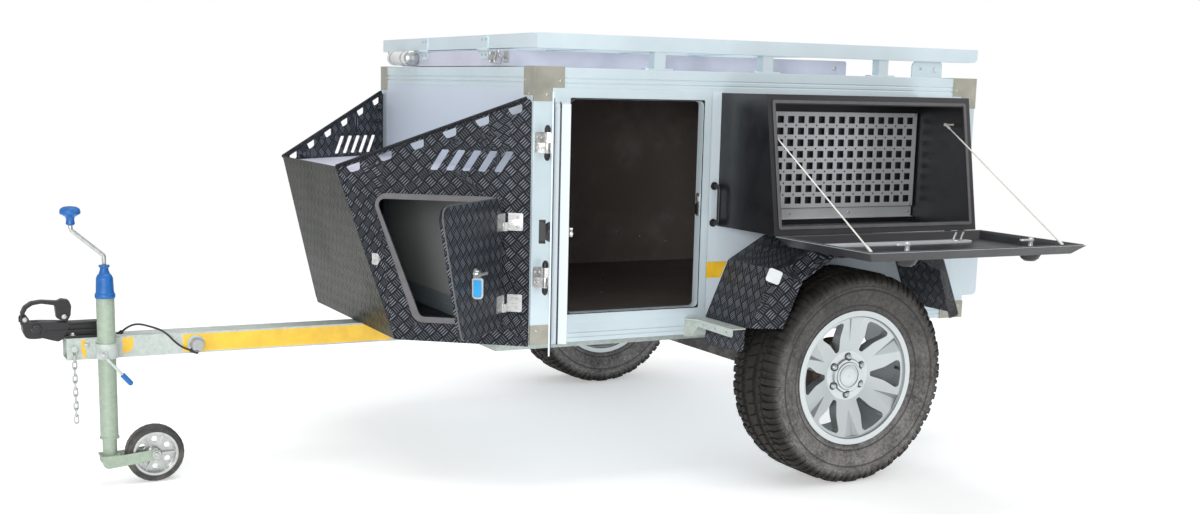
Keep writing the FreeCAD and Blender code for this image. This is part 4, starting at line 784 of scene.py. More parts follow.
# Each lug of a row: where it starts and ends within a pitch, and its share of the full height.
SHOULDER = [(0.0, 0.27, 1.0), (0.33, 0.6, 1.0), (0.715, 0.885, 0.62)]
MIDDLE = [(0.06, 0.33, 1.0), (0.4, 0.67, 1.0), (0.74, 0.99, 1.0)]
CENTRE = [(0.02, 0.46, 1.0), (0.52, 0.96, 1.0)]
# The sidewall from the bead outward: radius, sideways.
WALL = [(0.2298, 0.0975), (0.2370, 0.1012), (0.2465, 0.1035), (0.2520, 0.1090), (0.2560, 0.1118),
        (0.2615, 0.1120), (0.2650, 0.1130), (0.2800, 0.1215), (0.3000, 0.1285), (0.3180, 0.1312),
        (0.3300, 0.1308), (0.3312, 0.1325), (0.3352, 0.1325), (0.3364, 0.1298), (0.3440, 0.1282)]
# Each tread point: radius, sideways, its row of lugs, how far it rises outward and sideways.
TREAD = [(0.3462, 0.1276, SHOULDER, 0.0, 0.0), (0.3475, 0.1268, SHOULDER, 0.001, 0.0035),
         (0.3560, 0.1236, SHOULDER, 0.002, 0.0045), (0.3640, 0.1182, SHOULDER, 0.003, 0.005),
         (0.3715, 0.1110, SHOULDER, 0.0055, 0.0045), (0.3765, 0.1045, SHOULDER, LUG_HEIGHT, 0.002),
         (0.3785, 0.0985, SHOULDER, LUG_HEIGHT, 0.0), (TREAD_RADIUS, 0.0740, SHOULDER, LUG_HEIGHT, 0.0),
         (TREAD_RADIUS, 0.0728, SHOULDER, 0.0, 0.0), (TREAD_RADIUS, 0.0690, MIDDLE, 0.0, 0.0),
         (TREAD_RADIUS, 0.0678, MIDDLE, LUG_HEIGHT, 0.0), (TREAD_RADIUS, 0.0480, MIDDLE, LUG_HEIGHT, 0.0),
         (TREAD_RADIUS, 0.0465, MIDDLE, 0.0, 0.0), (TREAD_RADIUS, 0.0225, CENTRE, 0.0, 0.0),
         (TREAD_RADIUS, 0.0205, CENTRE, LUG_HEIGHT, 0.0), (TREAD_RADIUS, 0.0030, CENTRE, LUG_HEIGHT, 0.0)]
print("half a profile has", len(WALL) + len(TREAD), "points")


# %% One tyre mesh for both wheels
def rise_at(row, turn):
    """How much of a lug stands at this share of a pitch, from 0 to 1."""
    for start, end, high in row:
        if start - 1e-6 <= turn <= end + 1e-6:
            return high * max(0.0, min(1.0, (turn - start) / EDGE, (end - turn) / EDGE))
    return 0.0


def tyre_mesh():
    """A tyre about the sideways axis, its lugs leaning one way on each half."""
    turns = {0.0}
    for row in (SHOULDER, MIDDLE, CENTRE):
        for start, end, _ in row:
            turns |= {round(t, 4) for t in (start, start + EDGE, end - EDGE, end)}
    half = [(r, s, None, 0, 0) for r, s in WALL] + TREAD
    profile = half + [(r, -s, row, up, -out) for r, s, row, up, out in reversed(half)]
    pitch = 2 * math.pi / LUGS
    rings = []
    for lug in range(LUGS):
        for turn in sorted(turns):
            ring = []
            for radius, side, row, up, out in profile:
                high = rise_at(row, turn) if row else 0.0
                slant = SLANT * min(abs(side), SLANT_REACH) if row else 0.0
                angle = (lug + turn) * pitch + slant * (1 if side > 0 else -1)
                r = radius + up * high
                ring.append((r * math.cos(angle), side + out * high, r * math.sin(angle)))
            rings.append(ring)
    tyre = Pieces()
    tyre.skin(rings, loop=True)
    return tyre


rubber = tyre_mesh()
wheels = {"left": Vector((WHEEL_X, -WHEEL_Y, WHEEL_Z)), "right": Vector((WHEEL_X, WHEEL_Y, WHEEL_Z))}
for side, centre in wheels.items():
    tyre = rubber.copied(turn=Matrix.Translation(centre))
    carcass = tyre.made(side + "_tread", side + "_wheel", tyre_rubber.material)
    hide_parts(side + "_tyre")
print("each tyre has", len(rubber.faces), "faces")

# %% [markdown]
# ## Wheel nuts and valves
# Six cone nuts sit in the rim's round pockets, bright against the duller alloy. A stubby black
# valve leans out of the barrel by the rim's edge. Both ride on the wheel.

# %% Nuts and valve
STUD_CIRCLE, NUT_FOOT = 0.0699, 0.0442
NUT = [(0, 0.0135), (0.003, 0.0135), (0.004, 0.0112), (0.019, 0.0112), (0.0225, 0.0085),
       (0.0238, 0.004), (0.0238, TIP)]
VALVE_CIRCLE, VALVE_FOOT, VALVE_ANGLE = 0.203, 0.078, 0.1
VALVE = [(0, 0.006), (0.012, 0.0052), (0.016, 0.0042), (0.03, 0.0042), (0.031, 0.003)]


def on_wheel(centre, radius, angle, sideways):
    return centre + Vector((radius * math.cos(angle), sideways, radius * math.sin(angle)))


for side, centre in wheels.items():
    out = -1 if side == "left" else 1
    nuts = Pieces()
    for k in range(6):
        foot = on_wheel(centre, STUD_CIRCLE, math.radians(60 * k + 30), out * NUT_FOOT)
        nuts.turned(foot, Y * out, NUT, 6, 0.2 * k)
    nuts.made(side + "_wheel_nuts", side + "_wheel", zinc, edge=0.0008)
    valve = Pieces()
    valve.turned(on_wheel(centre, VALVE_CIRCLE, VALVE_ANGLE, out * VALVE_FOOT), (-0.25, out, 0), VALVE, 12)
    valve.made(side + "_valve", side + "_wheel", black_plastic)
print("twelve nuts and two valves")

# %% [markdown]
# ## Rivets, screws and bolts
# The corner plates are riveted to the rails, two on most faces. The hinges are screwed down,
# and the galvanised parts are bolted. Where a fastener sits tells how the thing is held, so
# each follows the piece it holds.

# %% Rivets on the corner plates
BODY_SIDE = -0.77
PLATE = 0.0025
RIVET = 0.0052
# Each corner: its height, the way into the body, and the rivets' steps along and up from it on
# the side and on the end. The nose hides the end faces of the plates at the front bottom.
TOP = (0.928, -1, ((0.096, 0.045), (0.047, 0.092)), ((0.067, 0.042), (0.036, 0.09)))
BOTTOM = (-0.008, 1, ((0.022, 0.046), (0.09, 0.022)), ((0.067, 0.02),))
heads = Pieces()
for x, inward in ((1.507, 1), (3.407, -1)):
    for z, up, on_side, on_end in (TOP, BOTTOM):
        for along, rise in on_side:
            heads.screw((x + inward * along, BODY_SIDE - PLATE, z + up * rise), -Y, RIVET)
        if inward < 0 or up < 0:
            for along, rise in on_end:
                heads.screw((x - inward * PLATE, BODY_SIDE + along, z + up * rise), X * -inward, RIVET)
print(len(heads.faces), "faces of rivets")

# %% Screws on the hinges and rivets on the wings
DOOR_HINGES, DOOR_SCREWS = (0.189, 0.643), (0.018, 0.052)
HATCH_HINGES, HATCH_SCREWS = (0.101, 0.379), (0.014, 0.046)
WING = Vector((0.959, -0.338, 0))
WING_ALONG = Vector((0.79585, -0.6055, 0)).normalized()
WING_OUT = WING_ALONG.cross(Z)


def on_wing(along, z, out):
    """A place from the wing's front edge along it, up, and out of its face."""
    return WING + WING_ALONG * along + Z * z + WING_OUT * out


for hinge in DOOR_HINGES:
    for rise in DOOR_SCREWS:
        for x in (1.522, 1.538):
            heads.screw((x, -0.773, hinge + rise), -Y, 0.0046)
for hinge in HATCH_HINGES:
    for rise in HATCH_SCREWS:
        heads.screw(on_wing(0.648, hinge + rise, 0.003), WING_OUT, 0.0058)
heads.mirrored().made("rivets_and_screws", "frame", zinc)
rivets = Pieces()
for z in (0.05, 0.2, 0.35, 0.5, 0.65, 0.78):
    rivets.screw(on_wing(0.6775, z, 0), WING_OUT, 0.0036)
rivets.mirrored().made("wing_rivets", "frame", black_coat)
print(len(heads.faces), "faces of rivets and screws")

# %% Bolts on the drawbar and screws on the rack
bolts = Pieces()
bolts.bolt((0.1605, -0.0562, -0.0495), -Y, 0.011)
for x in (0.118, 0.222):
    for y in (-0.033, 0.033):
        bolts.bolt((x, y, -0.0157), Z, 0.013)
# The coupling's two pins: place on the right, radius of the head and of its flat top.
COUPLING_PINS = ((-0.034, 0.036, 0.046, 0.0085, 0.005), (0.094, 0.0234, 0.048, 0.0095, 0.006))
for side in (-1, 1):
    for x, y, z, radius, face in COUPLING_PINS:
        pin = [(0, radius), (0.002, radius), (0.0045, face), (0.0048, TIP)]
        bolts.turned((x, side * y, z), Y * side, pin, 16)
bolts.made("drawbar_bolts", "frame", zinc, edge=0.0004)

rack_screws = Pieces()
rack_screws.screw((3.147, -0.7485, 0.962), -Y, 0.005)
rack_screws.screw((2.9, -0.5352, 0.958), -Y, 0.009)
for z in (0.97, 1.024):
    for y in (-0.328, 0.272):
        for aside in (-0.017, 0.017):
            rack_screws.screw((1.5118, y + aside, z), -X, 0.0046)
rack_screws.made("rack_screws", "frame", zinc)
print(len(bolts.faces) + len(rack_screws.faces), "faces of bolts and rack screws")

# %% Fasteners that move with doors and hatches
leaf_screws = Pieces()
for hinge in DOOR_HINGES:
    for rise in DOOR_SCREWS:
        for x in (1.64, 1.672):
            leaf_screws.screw((x, -0.788, hinge + rise), -Y, 0.0046)
on_both(leaf_screws, "door_screws", "door", zinc)
HINGE_CAP = [(0, 0.0105), (0.012, 0.0105), (0.019, 0.008), (0.024, 0.0035), (0.0245, TIP)]
caps = Pieces()
for hinge in DOOR_HINGES:
    for foot, way in ((hinge - 0.0003, -Z), (hinge + 0.0703, Z)):
        caps.turned(DOOR_AXIS + Z * foot, way, HINGE_CAP, 18)
on_both(caps, "hinge_caps", "door", black_plastic)
hatch_screws = Pieces()
for hinge in HATCH_HINGES:
    for rise in HATCH_SCREWS:
        hatch_screws.screw(on_wing(0.564, hinge + rise, 0.0305), WING_OUT, 0.0058)
on_both(hatch_screws, "hatch_screws", "hatch", zinc)
print("screws on two doors and two hatches")

# %% [markdown]
# ## Tape and reflectors
# The drawbar's sides carry a long strip of orange reflecting tape, and two worn ends of older
# tape look out from under the jockey clamp. The body has an orange reflector cut along the
# arch, and the arch's flared edge a white one with round corners. All are flat outlines raised
# a little off what they stick to.

# %% Tape
TAPE_SIDE = -0.05


def strip(outline, y, thick):
    """A flat piece on a left-hand face at sideways place y, its outline in x and z."""
    bag = Pieces()
    bag.raised(outline, (0, y, 0), X, Z, thick)
    return bag


tape = strip(square(0.486, 1.262, -0.0945, -0.0315), TAPE_SIDE, 0.00025)
tape.mirrored().made("drawbar_tape", "frame", orange_tape)
FRONT_END = [(0.143, -0.031), (0.1575, -0.031), (0.1575, -0.093), (0.147, -0.094), (0.1455, -0.075),
             (0.1425, -0.07)]
REAR_END = [(0.2785, -0.031), (0.316, -0.0305), (0.3165, -0.066), (0.311, -0.07), (0.305, -0.082),
            (0.2785, -0.087)]
worn = Pieces()
for outline in (FRONT_END, REAR_END):
    worn.raised(outline, (0, TAPE_SIDE, 0), X, Z, 0.0003)
worn.made("worn_tape", "frame", orange_tape)
print("tape on both sides and two worn ends")

# %% Reflectors
cut_edge = [(2.188, 0.252), (2.188, 0.194), (2.2625, 0.194), (2.288, 0.252)]
strip(cut_edge, BODY_SIDE, 0.0015).mirrored().made("body_reflectors", "frame", orange_tape)
# Three corners of the arch's flared edge give the way up it, out of it and across it.
FLARE = [Vector((2.207, -1.065, 0.0549)), Vector((2.295, -1.065, 0.2578)), Vector((2.379, -1.115, 0.2209))]
flare_up = (FLARE[1] - FLARE[0]).normalized()
flare_out = (FLARE[2] - FLARE[1]).cross(flare_up).normalized()
flare_across = flare_up.cross(flare_out)
middle = Vector((2.292, -1.072, 0.234)) + flare_out * 0.0006
lens_plate = Pieces()
lens_plate.raised(rounded(square(-0.026, 0.024, -0.024, 0.024), 0.01), middle, flare_across, flare_up, 0.004)
lens_plate.mirrored().made("arch_reflectors", "frame", white_reflector, edge=0.001)
print("two orange and two white reflectors")

# %% [markdown]
# ## The lead on the drawbar
# A free cord is a curve with a round section. Its control points are those that the packed
# tube bends at, and a quadratic curve touches each straight run, so both follow one route.

# %% The lead
LEAD_MM = [(505, -84, -83), (469, -85, -71), (421, -67, -13), (379, -38, 1), (339, -18, 11),
           (307, -6, 1), (288, 1, -17)]
LEAD = [tuple(value / 1000 for value in point) for point in LEAD_MM]
route = bpy.data.curves.new("lead", "CURVE")
route.dimensions = "3D"
route.bevel_depth = 0.0035
route.bevel_resolution = 5
route.resolution_u = 10
spline = route.splines.new("NURBS")
spline.points.add(len(LEAD) - 1)
for point, place in zip(spline.points, LEAD):
    point.co = (*place, 1)
spline.order_u = 3
spline.use_endpoint_u = True
lead = bpy.data.objects.new("lead", route)
bpy.context.scene.collection.objects.link(lead)
route.materials.append(lead_rubber)
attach(lead, "frame")
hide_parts("trailer_lead")
print("the lead follows", len(LEAD), "points")

# %% The socket's contacts and screws
CONTACTS, CONTACT_CIRCLE = 7, 0.012
CONTACT = [(0, 0.0022), (0.0012, 0.0022), (0.0016, 0.001)]
plug = Pieces()
for angle in full_turn(CONTACTS)[:-1]:
    place = (SOCKET_X + CONTACT_CIRCLE * math.cos(angle), -0.088, SOCKET_Z + CONTACT_CIRCLE * math.sin(angle))
    plug.turned(place, -Y, CONTACT, 8)
for aside in (-0.024, 0.024):
    plug.screw((SOCKET_X + aside, -0.0592, SOCKET_Z), -Y, 0.0032)
plug.made("socket_screws", "frame", zinc)
print(CONTACTS, "contacts and two screws")

# %% [markdown]
# ## Jockey wheel bolts
# The wheel turns on a bolt with a head on one side and a nut on the other, and the clamp's
# ring is drawn up by another.

# %% Bolts on the jockey wheel
FORK_AXLE = Vector((0.368, -0.106, -0.435))
fork_bolts = Pieces()
for side in (-1, 1):
    fork_bolts.bolt(FORK_AXLE + Y * (side * 0.042), Y * side, 0.016)
fork_bolts.made("fork_bolts", "jockey_castor", zinc, edge=0.0005)
clamp_bolt = Pieces()
clamp_bolt.bolt(Vector(HANDLE_ROOT) - Y * 0.004, -Y, 0.015)
clamp_bolt.made("clamp_bolt", "frame", zinc, edge=0.0005)
print("three bolts")

# %% [markdown]
# ## Seals round the openings
# A doorway in a box like this closes on a rubber seal in its frame, and the door brings a
# gasket of its own. The side box's mouth and the lid's rim have seals too. The lid shows its
# bare aluminium edge as a bright line, and the hatch a dull grey trim. A seal keeps one flat
# section all the way round, so each is the strip between two outlines.

# %% Seals of the doors
DOORWAY = (1.645, 2.165, 0.093, 0.824)
DOOR_LEAF = (1.642, 2.163, 0.09, 0.827)
door_seal = Pieces()
door_seal.ringed(grown(*DOORWAY, 0.004, 0.004), grown(*DOORWAY, 0.0005, 0.019), (0, -0.775, 0), X, Z, 0.0015)
door_seal.mirrored().made("door_seals", "frame", black_plastic, edge=0.0005)
gasket = Pieces()
for outer, outer_radius, inner, y, thick in ((0.0, 0.02, -0.0125, -0.7772, 0.0028),
                                             (-0.011, 0.015, -0.0135, -0.757, 0.005)):
    gasket.ringed(grown(*DOOR_LEAF, outer, outer_radius), grown(*DOOR_LEAF, inner, 0.0125), (0, y, 0), X, Z,
                  thick)
on_both(gasket, "door_gasket", "door", black_plastic, 0.0006)
print("two seals and two gaskets")

# %% Seals of the side boxes
MOUTH = (2.275, 3.092, 0.0335, 0.4464)
MOUTH_FOOT = Vector((0, -1.135, 0.382))
MOUTH_SLOPE = Vector((0, 0.081, 0.473)).normalized()
LID = (2.234, 3.133, -1.665, -1.152)
LID_TOP = 0.3803
mouth_seal = Pieces()
mouth_seal.ringed(grown(*MOUTH, 0.014, 0.01), grown(*MOUTH, 0.003, 0.003), MOUTH_FOOT, X, MOUTH_SLOPE, 0.0042)
mouth_seal.mirrored().made("mouth_seals", "frame", seal_grey, edge=0.0012)


def lid_ring(inset, wide, high):
    """A square-cornered strip on the open lid, so far in from its edge and so wide and high."""
    x0, x1, y0, y1 = LID
    outer = square(x0 + inset, x1 - inset, y0 + inset, y1 - inset)
    inner = square(x0 + inset + wide, x1 - inset - wide, y0 + inset + wide, y1 - inset - wide)
    ring = Pieces()
    ring.ringed(outer, inner, (0, 0, LID_TOP), X, Y, high)
    return ring


on_both(lid_ring(0.0004, 0.0022, 0.0008), "lid_edge", "lid", rail_finish)
on_both(lid_ring(0.0065, 0.0075, 0.0034), "lid_seal", "lid", seal_grey)
print("seals on two mouths and two lids")

# %% The hatches' trim
# The hatch in the wing's plane: its front top corner, rear edge, bottom and top. The front
# edge leans back towards its foot, as the nose's own front edge does by NOSE_LEAN over
# NOSE_DROP, and WING_RUN is how far a metre along the wing gets along the trailer.
HATCH = (0.125, 0.5886, 0.048, 0.491)
WING_RUN = 0.79585
NOSE_LEAN, NOSE_DROP = 0.170, 0.593
HATCH_RAKE = NOSE_LEAN / WING_RUN / NOSE_DROP
HATCH_CORNER = 0.042


def hatch_outline(by):
    front, rear, low, high = HATCH
    foot = front + (high - low) * HATCH_RAKE
    corners = [(foot - by, low - by), (rear + by, low - by), (rear + by, high + by), (front - by, high + by)]
    return rounded(corners, HATCH_CORNER + by, 8)


trim = Pieces()
trim.ringed(hatch_outline(0.0009), hatch_outline(-0.0004), on_wing(0, 0, 0.0225), WING_ALONG, Z, 0.0053)
on_both(trim, "hatch_edge", "hatch", seal_grey)
print("two trims")

# %% [markdown]
# ## Hatch lock, keeper and striker
# The open hatch shows its lock: a round rosette, a bar to turn and a key with a blue tag in a
# bright frame. A small pointed keeper waits on the wing, and the door's striker is screwed to
# the doorpost. All are outlines raised off a face, so they take their places from that face.

# %% The hatches' locks
HATCH_HINGE = 0.6026
LOCK_IN, LOCK_UP = 0.225, 0.258
ROSETTE = [(0, 0.019), (0.003, 0.019), (0.005, 0.015), (0.016, 0.012), (0.016, TIP)]


def on_leaf(from_hinge, z, out):
    """A place over the shut hatch's outer face."""
    return on_wing(HATCH_HINGE - from_hinge, z, 0.0275 + out)


lock = Pieces()
lock.turned(on_leaf(LOCK_IN, LOCK_UP, 0), WING_OUT, ROSETTE, 24)
lock.turned(on_leaf(LOCK_IN, LOCK_UP, 0.014), WING_OUT, [(0, 0.006), (0.012, 0.006)], 12)
lock.rod([on_leaf(LOCK_IN + 0.037, LOCK_UP, 0.025), on_leaf(LOCK_IN - 0.037, LOCK_UP, 0.025)], 0.0048)
on_both(lock, "hatch_lock", "hatch", zinc, 0.0006)
print("two locks")

# %% The key's tag
# The tag hangs straight down from the bar of the open hatch, its face turned to the left.
TAG_WAY = Vector((0.78, -0.62, 0.0)).normalized()
TAG_BACK = TAG_WAY.cross(Z)
tag_top = rest_turn["left_hatch"] @ on_leaf(0.262, 0.247, 0.027)


def tag_shape(wide, low, high, foot_radius, head_radius):
    """A tag's outline from half its width, its two ends and the radii of their corners."""
    return rounded(square(-wide, wide, low, high), [foot_radius] * 2 + [head_radius] * 2)


tag = Pieces()
tag.raised(tag_shape(0.016, -0.062, 0.0, 0.012, 0.006), tag_top, TAG_WAY, Z, 0.0025)
tag.ringed(tag_shape(0.018, -0.064, 0.003, 0.014, 0.007), tag_shape(0.013, -0.058, -0.003, 0.009, 0.004),
           tag_top - TAG_BACK * 0.0008, TAG_WAY, Z, 0.0042)
tag.made("key_tag", "left_hatch_body", tag_blue, edge=0.0006)
key_frame = Pieces()
key_frame.ringed(tag_shape(0.0186, -0.0646, 0.0036, 0.014, 0.007),
                 tag_shape(0.0135, -0.0585, -0.0025, 0.009, 0.004),
                 tag_top - TAG_BACK * 0.0014, TAG_WAY, Z, 0.0054)
eye = tag_top + Z * 0.006
key_ring = [eye + (TAG_WAY * math.cos(t) + Z * math.sin(t)) * 0.008 for t in full_turn(16)]
key_frame.rod(key_ring, 0.0009, 6)
key_frame.made("key_frame", "left_hatch_body", zinc)
print("a tag in a frame on a ring")

# %% Keepers and strikers
KEEPER = [(0.131, 0.243), (0.15, 0.24), (0.163, 0.262), (0.151, 0.281), (0.131, 0.282)]
KEEPER_TOP = 0.0035
keeper = Pieces()
keeper.raised(rounded(KEEPER, 0.004), WING, WING_ALONG, Z, KEEPER_TOP)
keeper.screw(on_wing(0.14, 0.273, KEEPER_TOP), WING_OUT, 0.0048)
keeper.screw(on_wing(0.142, 0.25, KEEPER_TOP), WING_OUT, 0.0048)
catch = rounded(square(0.148, 0.158, 0.253, 0.27), 0.003)
keeper.raised(catch, on_wing(0, 0, KEEPER_TOP), WING_ALONG, Z, 0.007)
keeper.mirrored().made("hatch_keepers", "frame", zinc, edge=0.0006)

striker = Pieces()
striker.box((2.1625, -0.77, 0.419), (2.165, -0.748, 0.5))
striker.box((2.1585, -0.766, 0.47), (2.1625, -0.752, 0.488))
striker.mirrored().made("door_strikers", "frame", zinc, edge=0.0008)
pad = Pieces()
pad.box((2.1575, -0.767, 0.424), (2.1625, -0.751, 0.462))
pad.mirrored().made("striker_pads", "frame", black_plastic, edge=0.001)
print("keepers and strikers on both sides")

# %% [markdown]
# ## Stays of the open lid
# Two thin rods hold the lid level. They can't follow the lid as stiff solids, so each is a mesh
# of its own that stays on the frame, in place of the imported stays.

# %% Stays
STAY_TOP, STAY_END = (-0.986, 0.757), (-1.603, 0.380)
SLEEVE = [(0, 0.004), (0.004, 0.0052), (0.03, 0.0046), (0.036, 0.003)]
STAY_BOLT = [(0, 0.0055), (0.008, 0.0055), (0.008, 0.004), (0.041, 0.004)]
for name, x, away in (("front_stay", 2.283, -1), ("rear_stay", 3.084, 1)):
    top, end = Vector((x, *STAY_TOP)), Vector((x, *STAY_END))
    along = (end - top).normalized()
    stay = Pieces()
    stay.rod([top, end], 0.0026, 10)
    for place, way in ((top, along), (end, -along)):
        stay.turned(place - way * 0.006, way, SLEEVE, 12)
    stay.turned(top - X * away * 0.006, X * away, STAY_BOLT, 12)
    piece = stay.made(name, "frame", stay_white)
    if name == "front_stay":
        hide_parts("lid_stays")
    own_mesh(piece)
lid_pins = Pieces()
for x in (2.925, 2.958):
    lid_pins.rod([(x, -1.247, 0.3606), (x + 0.004, -1.247, 0.374), (x + 0.012, -1.247, 0.388)], 0.0042)
lid_pins.turned((2.94, -1.247, 0.3606), Z, [(0, 0.026), (0.002, 0.026), (0.003, 0.02)], 20)
lid_pins.made("lid_pins", "left_lid_body", zinc)
print("two stays and two pins")

# %% [markdown]
# ## Inside the side box and the cabin
# Behind the box's mouth hangs a punched panel. Its large holes are cut in the imported solid.
# A small peg hole sits between each four of them. It is too fine to cut, so it is a thin disc of
# painted shade on the panel's face, dark as the hole's inside, and the panel's own box gives the
# spacing. A pale flange runs under the panel, and screws hold both to the wall. A few more hold
# the cabin's lining.

# %% Peg holes and flange
PANEL_COLUMNS, PANEL_ROWS = 18, 8
SIDE_MARGIN, TOP_MARGIN = 0.01, 0.007
PEG_HOLE = [(0, 0.0034), (0.0004, 0.0034), (0.0004, TIP)]
(mesh_x0, mesh_y, mesh_z0), (mesh_x1, _, mesh_z1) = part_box("mesh_panel")
peg_holes = Pieces()
for i in range(1, PANEL_COLUMNS):
    for j in range(1, PANEL_ROWS):
        x = mesh_x0 + SIDE_MARGIN + (mesh_x1 - mesh_x0 - 2 * SIDE_MARGIN) * i / PANEL_COLUMNS
        z = mesh_z0 + TOP_MARGIN + (mesh_z1 - mesh_z0 - 2 * TOP_MARGIN) * j / PANEL_ROWS
        peg_holes.turned((x, mesh_y + 0.0001, z), -Y, PEG_HOLE, 8)
# Painted shade: each peg hole is a dark disc standing for the shade inside the hole.
peg_holes.made("peg_holes", "frame", black_plastic)
flange = Pieces()
flange.box((2.252, -0.776, 0.402), (3.116, -0.7732, 0.4395))
flange.box((2.252, -0.79, 0.4), (3.116, -0.7732, 0.4025))
flange.made("box_flange", "frame", punched_sheet, edge=0.0005)
print((PANEL_COLUMNS - 1) * (PANEL_ROWS - 1), "peg holes and one flange")

# %% Screws of the panel and the lining
panel_screws = Pieces()
for x in (2.284, 2.55, 2.82, 3.101):
    panel_screws.screw((x, -0.776, 0.421), -Y, 0.005)
for x in (2.284, 3.101):
    for z in (0.447, 0.788):
        panel_screws.screw((x, -0.786, z), -Y, 0.0055)
panel_screws.made("panel_screws", "frame", zinc)
lining_screws = Pieces()
for x, z in ((2.575, 0.188), (2.644, 0.202), (2.77, 0.178), (2.91, 0.15), (2.578, 0.096)):
    lining_screws.screw((x, 0.7401, z), -Y, 0.006)
for x, y in ((2.375, 0.357), (2.24, 0.104), (2.104, -0.149)):
    lining_screws.screw((x, y, 0.062), Z, 0.006)
lining_screws.made("lining_screws", "frame", zinc)
print("eight screws on the panel and eight in the cabin")

# %% [markdown]
# ## Things hung under the rack's front
# A white tube with a bright screw cap lies across the front right, held by two bands, and a
# draw latch with a loose ring stands at the left. Both are bolted to the flat locker's face.

# %% The tube and its bands
TUBE_X, TUBE_Z = 1.4865, 0.962
TUBE_START, CAP_START = 0.566, 0.3645
HALF_BAND = 0.007
tube = Pieces()
tube.turned((TUBE_X, TUBE_START, TUBE_Z), -Y, [(0, 0.0245), (0.004, 0.027), (0.2, 0.027), (0.202, 0.025)], 32)
tube.made("rack_tube", "frame", white_plastic, edge=0.0008)
SCREW_CAP = [(0, 0.026), (0.002, 0.0285), (0.012, 0.0285), (0.013, 0.024), (0.016, 0.024), (0.017, 0.0285),
             (0.027, 0.0285), (0.03, 0.025), (0.034, 0.012), (0.034, TIP)]
BAND = [(-HALF_BAND, 0.027), (-HALF_BAND, 0.0285), (HALF_BAND, 0.0285), (HALF_BAND, 0.027)]
fittings = Pieces()
fittings.turned((TUBE_X, CAP_START, TUBE_Z), -Y, SCREW_CAP, 28)
for y in (0.405, 0.53):
    fittings.turned((TUBE_X, y, TUBE_Z), Y, BAND, 28)
    fittings.box((1.5, y - HALF_BAND, 0.934), (1.5153, y + HALF_BAND, 0.9365))
    fittings.box((1.5128, y - 0.011, 0.9365), (1.5153, y + 0.011, 0.984))
fittings.box((1.466, 0.567, 0.947), (1.51, 0.5705, 0.99))
fittings.bolt((TUBE_X, 0.5705, TUBE_Z), Y, 0.017)
print("a tube in two bands")

# %% The draw latch
LATCH_BASES = ((-0.428, -0.382), (-0.541, -0.505))
LATCH_LEVER = [(-0.46, 0.958), (-0.4, 0.95), (-0.4, 0.972), (-0.46, 0.968)]
RING_MIDDLE = Vector((1.5, -0.478, 0.962))
RING_RADIUS, RING_SWAY = 0.024, 0.004
for y0, y1 in LATCH_BASES:
    fittings.box((1.512, y0, 0.942), (1.5153, y1, 0.982))
for y in (-0.395, -0.417, -0.514, -0.533):
    fittings.screw((1.512, y, 0.95), -X, 0.0045)
fittings.rod([(1.503, -0.405, 0.945), (1.503, -0.405, 0.98)], 0.005)
fittings.raised(rounded(LATCH_LEVER, 0.004), (1.502, 0, 0), Y, Z, -0.004)
ring = [RING_MIDDLE + X * (RING_SWAY * math.sin(2 * t)) + (Y * math.cos(t) + Z * math.sin(t)) * RING_RADIUS
        for t in full_turn(28)]
fittings.rod(ring, 0.0034, 8)
fittings.rod([(1.509, -0.51, 0.962), (1.5, -0.512, 0.962), (1.495, -0.502, 0.962), (1.497, -0.494, 0.966)],
             0.0038, 8)
fittings.made("rack_fittings", "frame", zinc, edge=0.0004)
print("a latch with a loose ring")

# %% [markdown]
# ## Floor and light
# The floor is plain and pale, and fades into the world before its edge shows. The world is
# white for the camera and a pale grey for the light. A broad key lamp ahead on the left gives
# the forms a direction, a lower one beside it reaches under the lid and the deck, one hangs
# overhead, and a weak one behind rounds off the rear. Together they light the trailer so that
# a colour renders about as it is written.

# %% Floor
GROUND = -0.535
FADE_START, FADE_END = 3.2, 7.5
bpy.ops.mesh.primitive_plane_add(size=60, location=(1.7, 0, GROUND - 0.0005))
ground_sheet = bpy.context.object
ground_sheet.name = "ground_sheet"
floor_finish = Finish("pale floor", Roughness=0.95, Specular_IOR_Level=0.1)
far = floor_finish.vector("LENGTH", floor_finish.here, (0, 0, 0), "Value").ramp(FADE_START, FADE_END)
ground_sheet.data.materials.append(floor_finish.paint(Base_Color=(0.9, 0.905, 0.91), Alpha=1 - far,
                                                     Emission_Color=(1, 1, 1), Emission_Strength=0.36))
print("floor at", GROUND)

# %% World
SKY_LIGHT, SKY_SEEN = 0.6, 1.0
world = bpy.data.worlds.new("pale sky")
bpy.context.scene.world = world
world.use_nodes = True
sky = world.node_tree
background = sky.nodes["Background"]
path = sky.nodes.new("ShaderNodeLightPath")
strength = sky.nodes.new("ShaderNodeMapRange")
sky.links.new(path.outputs["Is Camera Ray"], strength.inputs["Value"])
strength.inputs["To Min"].default_value = SKY_LIGHT
strength.inputs["To Max"].default_value = SKY_SEEN
sky.links.new(strength.outputs[0], background.inputs["Strength"])
background.inputs["Color"].default_value = (1, 1, 1, 1)
print("the sky lights at", SKY_LIGHT, "and shows at", SKY_SEEN)


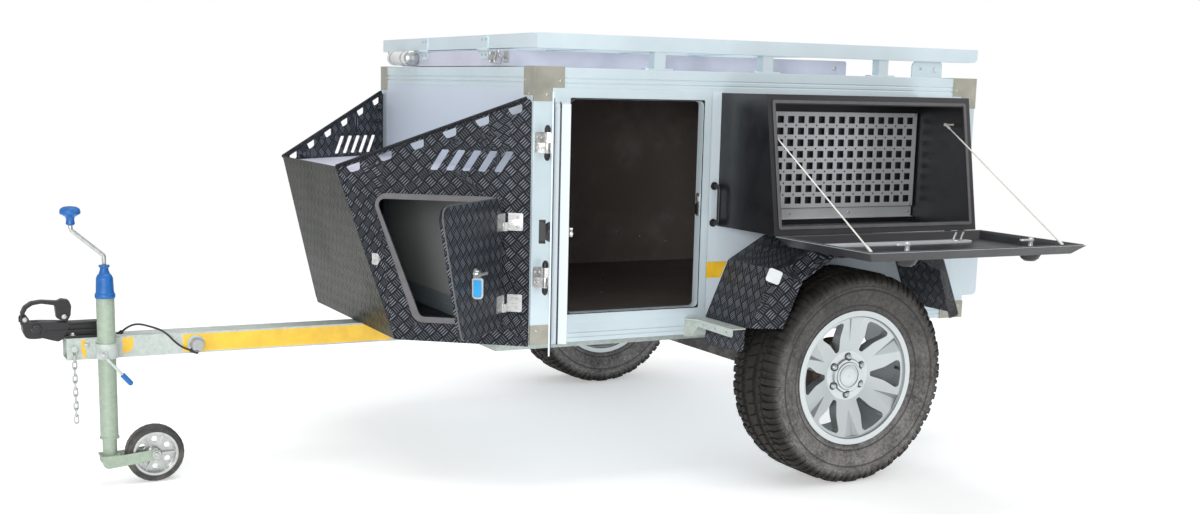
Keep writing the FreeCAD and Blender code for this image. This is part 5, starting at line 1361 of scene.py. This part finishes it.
# %% Lamps
def lamp(name, place, aim, size, power):
    light = bpy.data.lights.new(name, "AREA")
    light.shape = "RECTANGLE"
    light.size, light.size_y = size
    light.energy = power
    holder = bpy.data.objects.new(name, light)
    holder.location = place
    holder.rotation_euler = (Vector(aim) - Vector(place)).to_track_quat("-Z", "Y").to_euler()
    bpy.context.scene.collection.objects.link(holder)


lamp("key", (-3.3, -5.7, 1.9), (1.7, -0.2, 0.25), (2.8, 1.8), 145.0)
lamp("fill", (-1.35, -5.9, 1.1), (1.7, -0.2, 0.3), (1.4, 1.0), 80.0)
lamp("top", (1.6, -0.6, 6.0), (1.6, -0.3, 0), (5.0, 3.5), 190.0)
lamp("side", (6.5, -3.5, 3.0), (2.4, 0, 0.2), (3.0, 3.0), 50.0)
print(len(bpy.data.lights), "lamps")

# %% [markdown]
# ## Camera
# The camera stands a little ahead of the tow ball and five metres to its left, 1.4 m above the
# ground, and looks back across the trailer. Its place and angles were worked out from straight
# edges in the photograph, and a small shift of the frame keeps the trailer where it is there.

# %% Camera
IMAGE = (1200, 514)
EYE = Vector((-0.5542, -5.2058, 0.8666))
YAW, PITCH, ROLL = (math.radians(a) for a in (27.1989, 9.4614, -1.3047))
SENSOR, FOCAL = 36.0, 43.553
AIM_PIXEL = (587.22, 328.47)
forward = Vector((math.sin(YAW) * math.cos(PITCH), math.cos(YAW) * math.cos(PITCH), -math.sin(PITCH)))
level_right = Vector((math.cos(YAW), -math.sin(YAW), 0))
upright = level_right.cross(forward)
right = level_right * math.cos(ROLL) - upright * math.sin(ROLL)
up = level_right * math.sin(ROLL) + upright * math.cos(ROLL)
lens = bpy.data.cameras.new("camera")
lens.sensor_width = SENSOR
lens.lens = FOCAL
lens.shift_x = (IMAGE[0] / 2 - AIM_PIXEL[0]) / IMAGE[0]
lens.shift_y = (AIM_PIXEL[1] - IMAGE[1] / 2) / IMAGE[0]
lens.clip_end = 200
camera = bpy.data.objects.new("camera", lens)
camera.matrix_world = Matrix(((right.x, up.x, -forward.x, EYE.x), (right.y, up.y, -forward.y, EYE.y),
                              (right.z, up.z, -forward.z, EYE.z), (0, 0, 0, 1)))
bpy.context.scene.collection.objects.link(camera)
bpy.context.scene.camera = camera
bpy.context.scene.view_settings.view_transform = "Standard"
print("camera at", [round(v, 2) for v in camera.location])
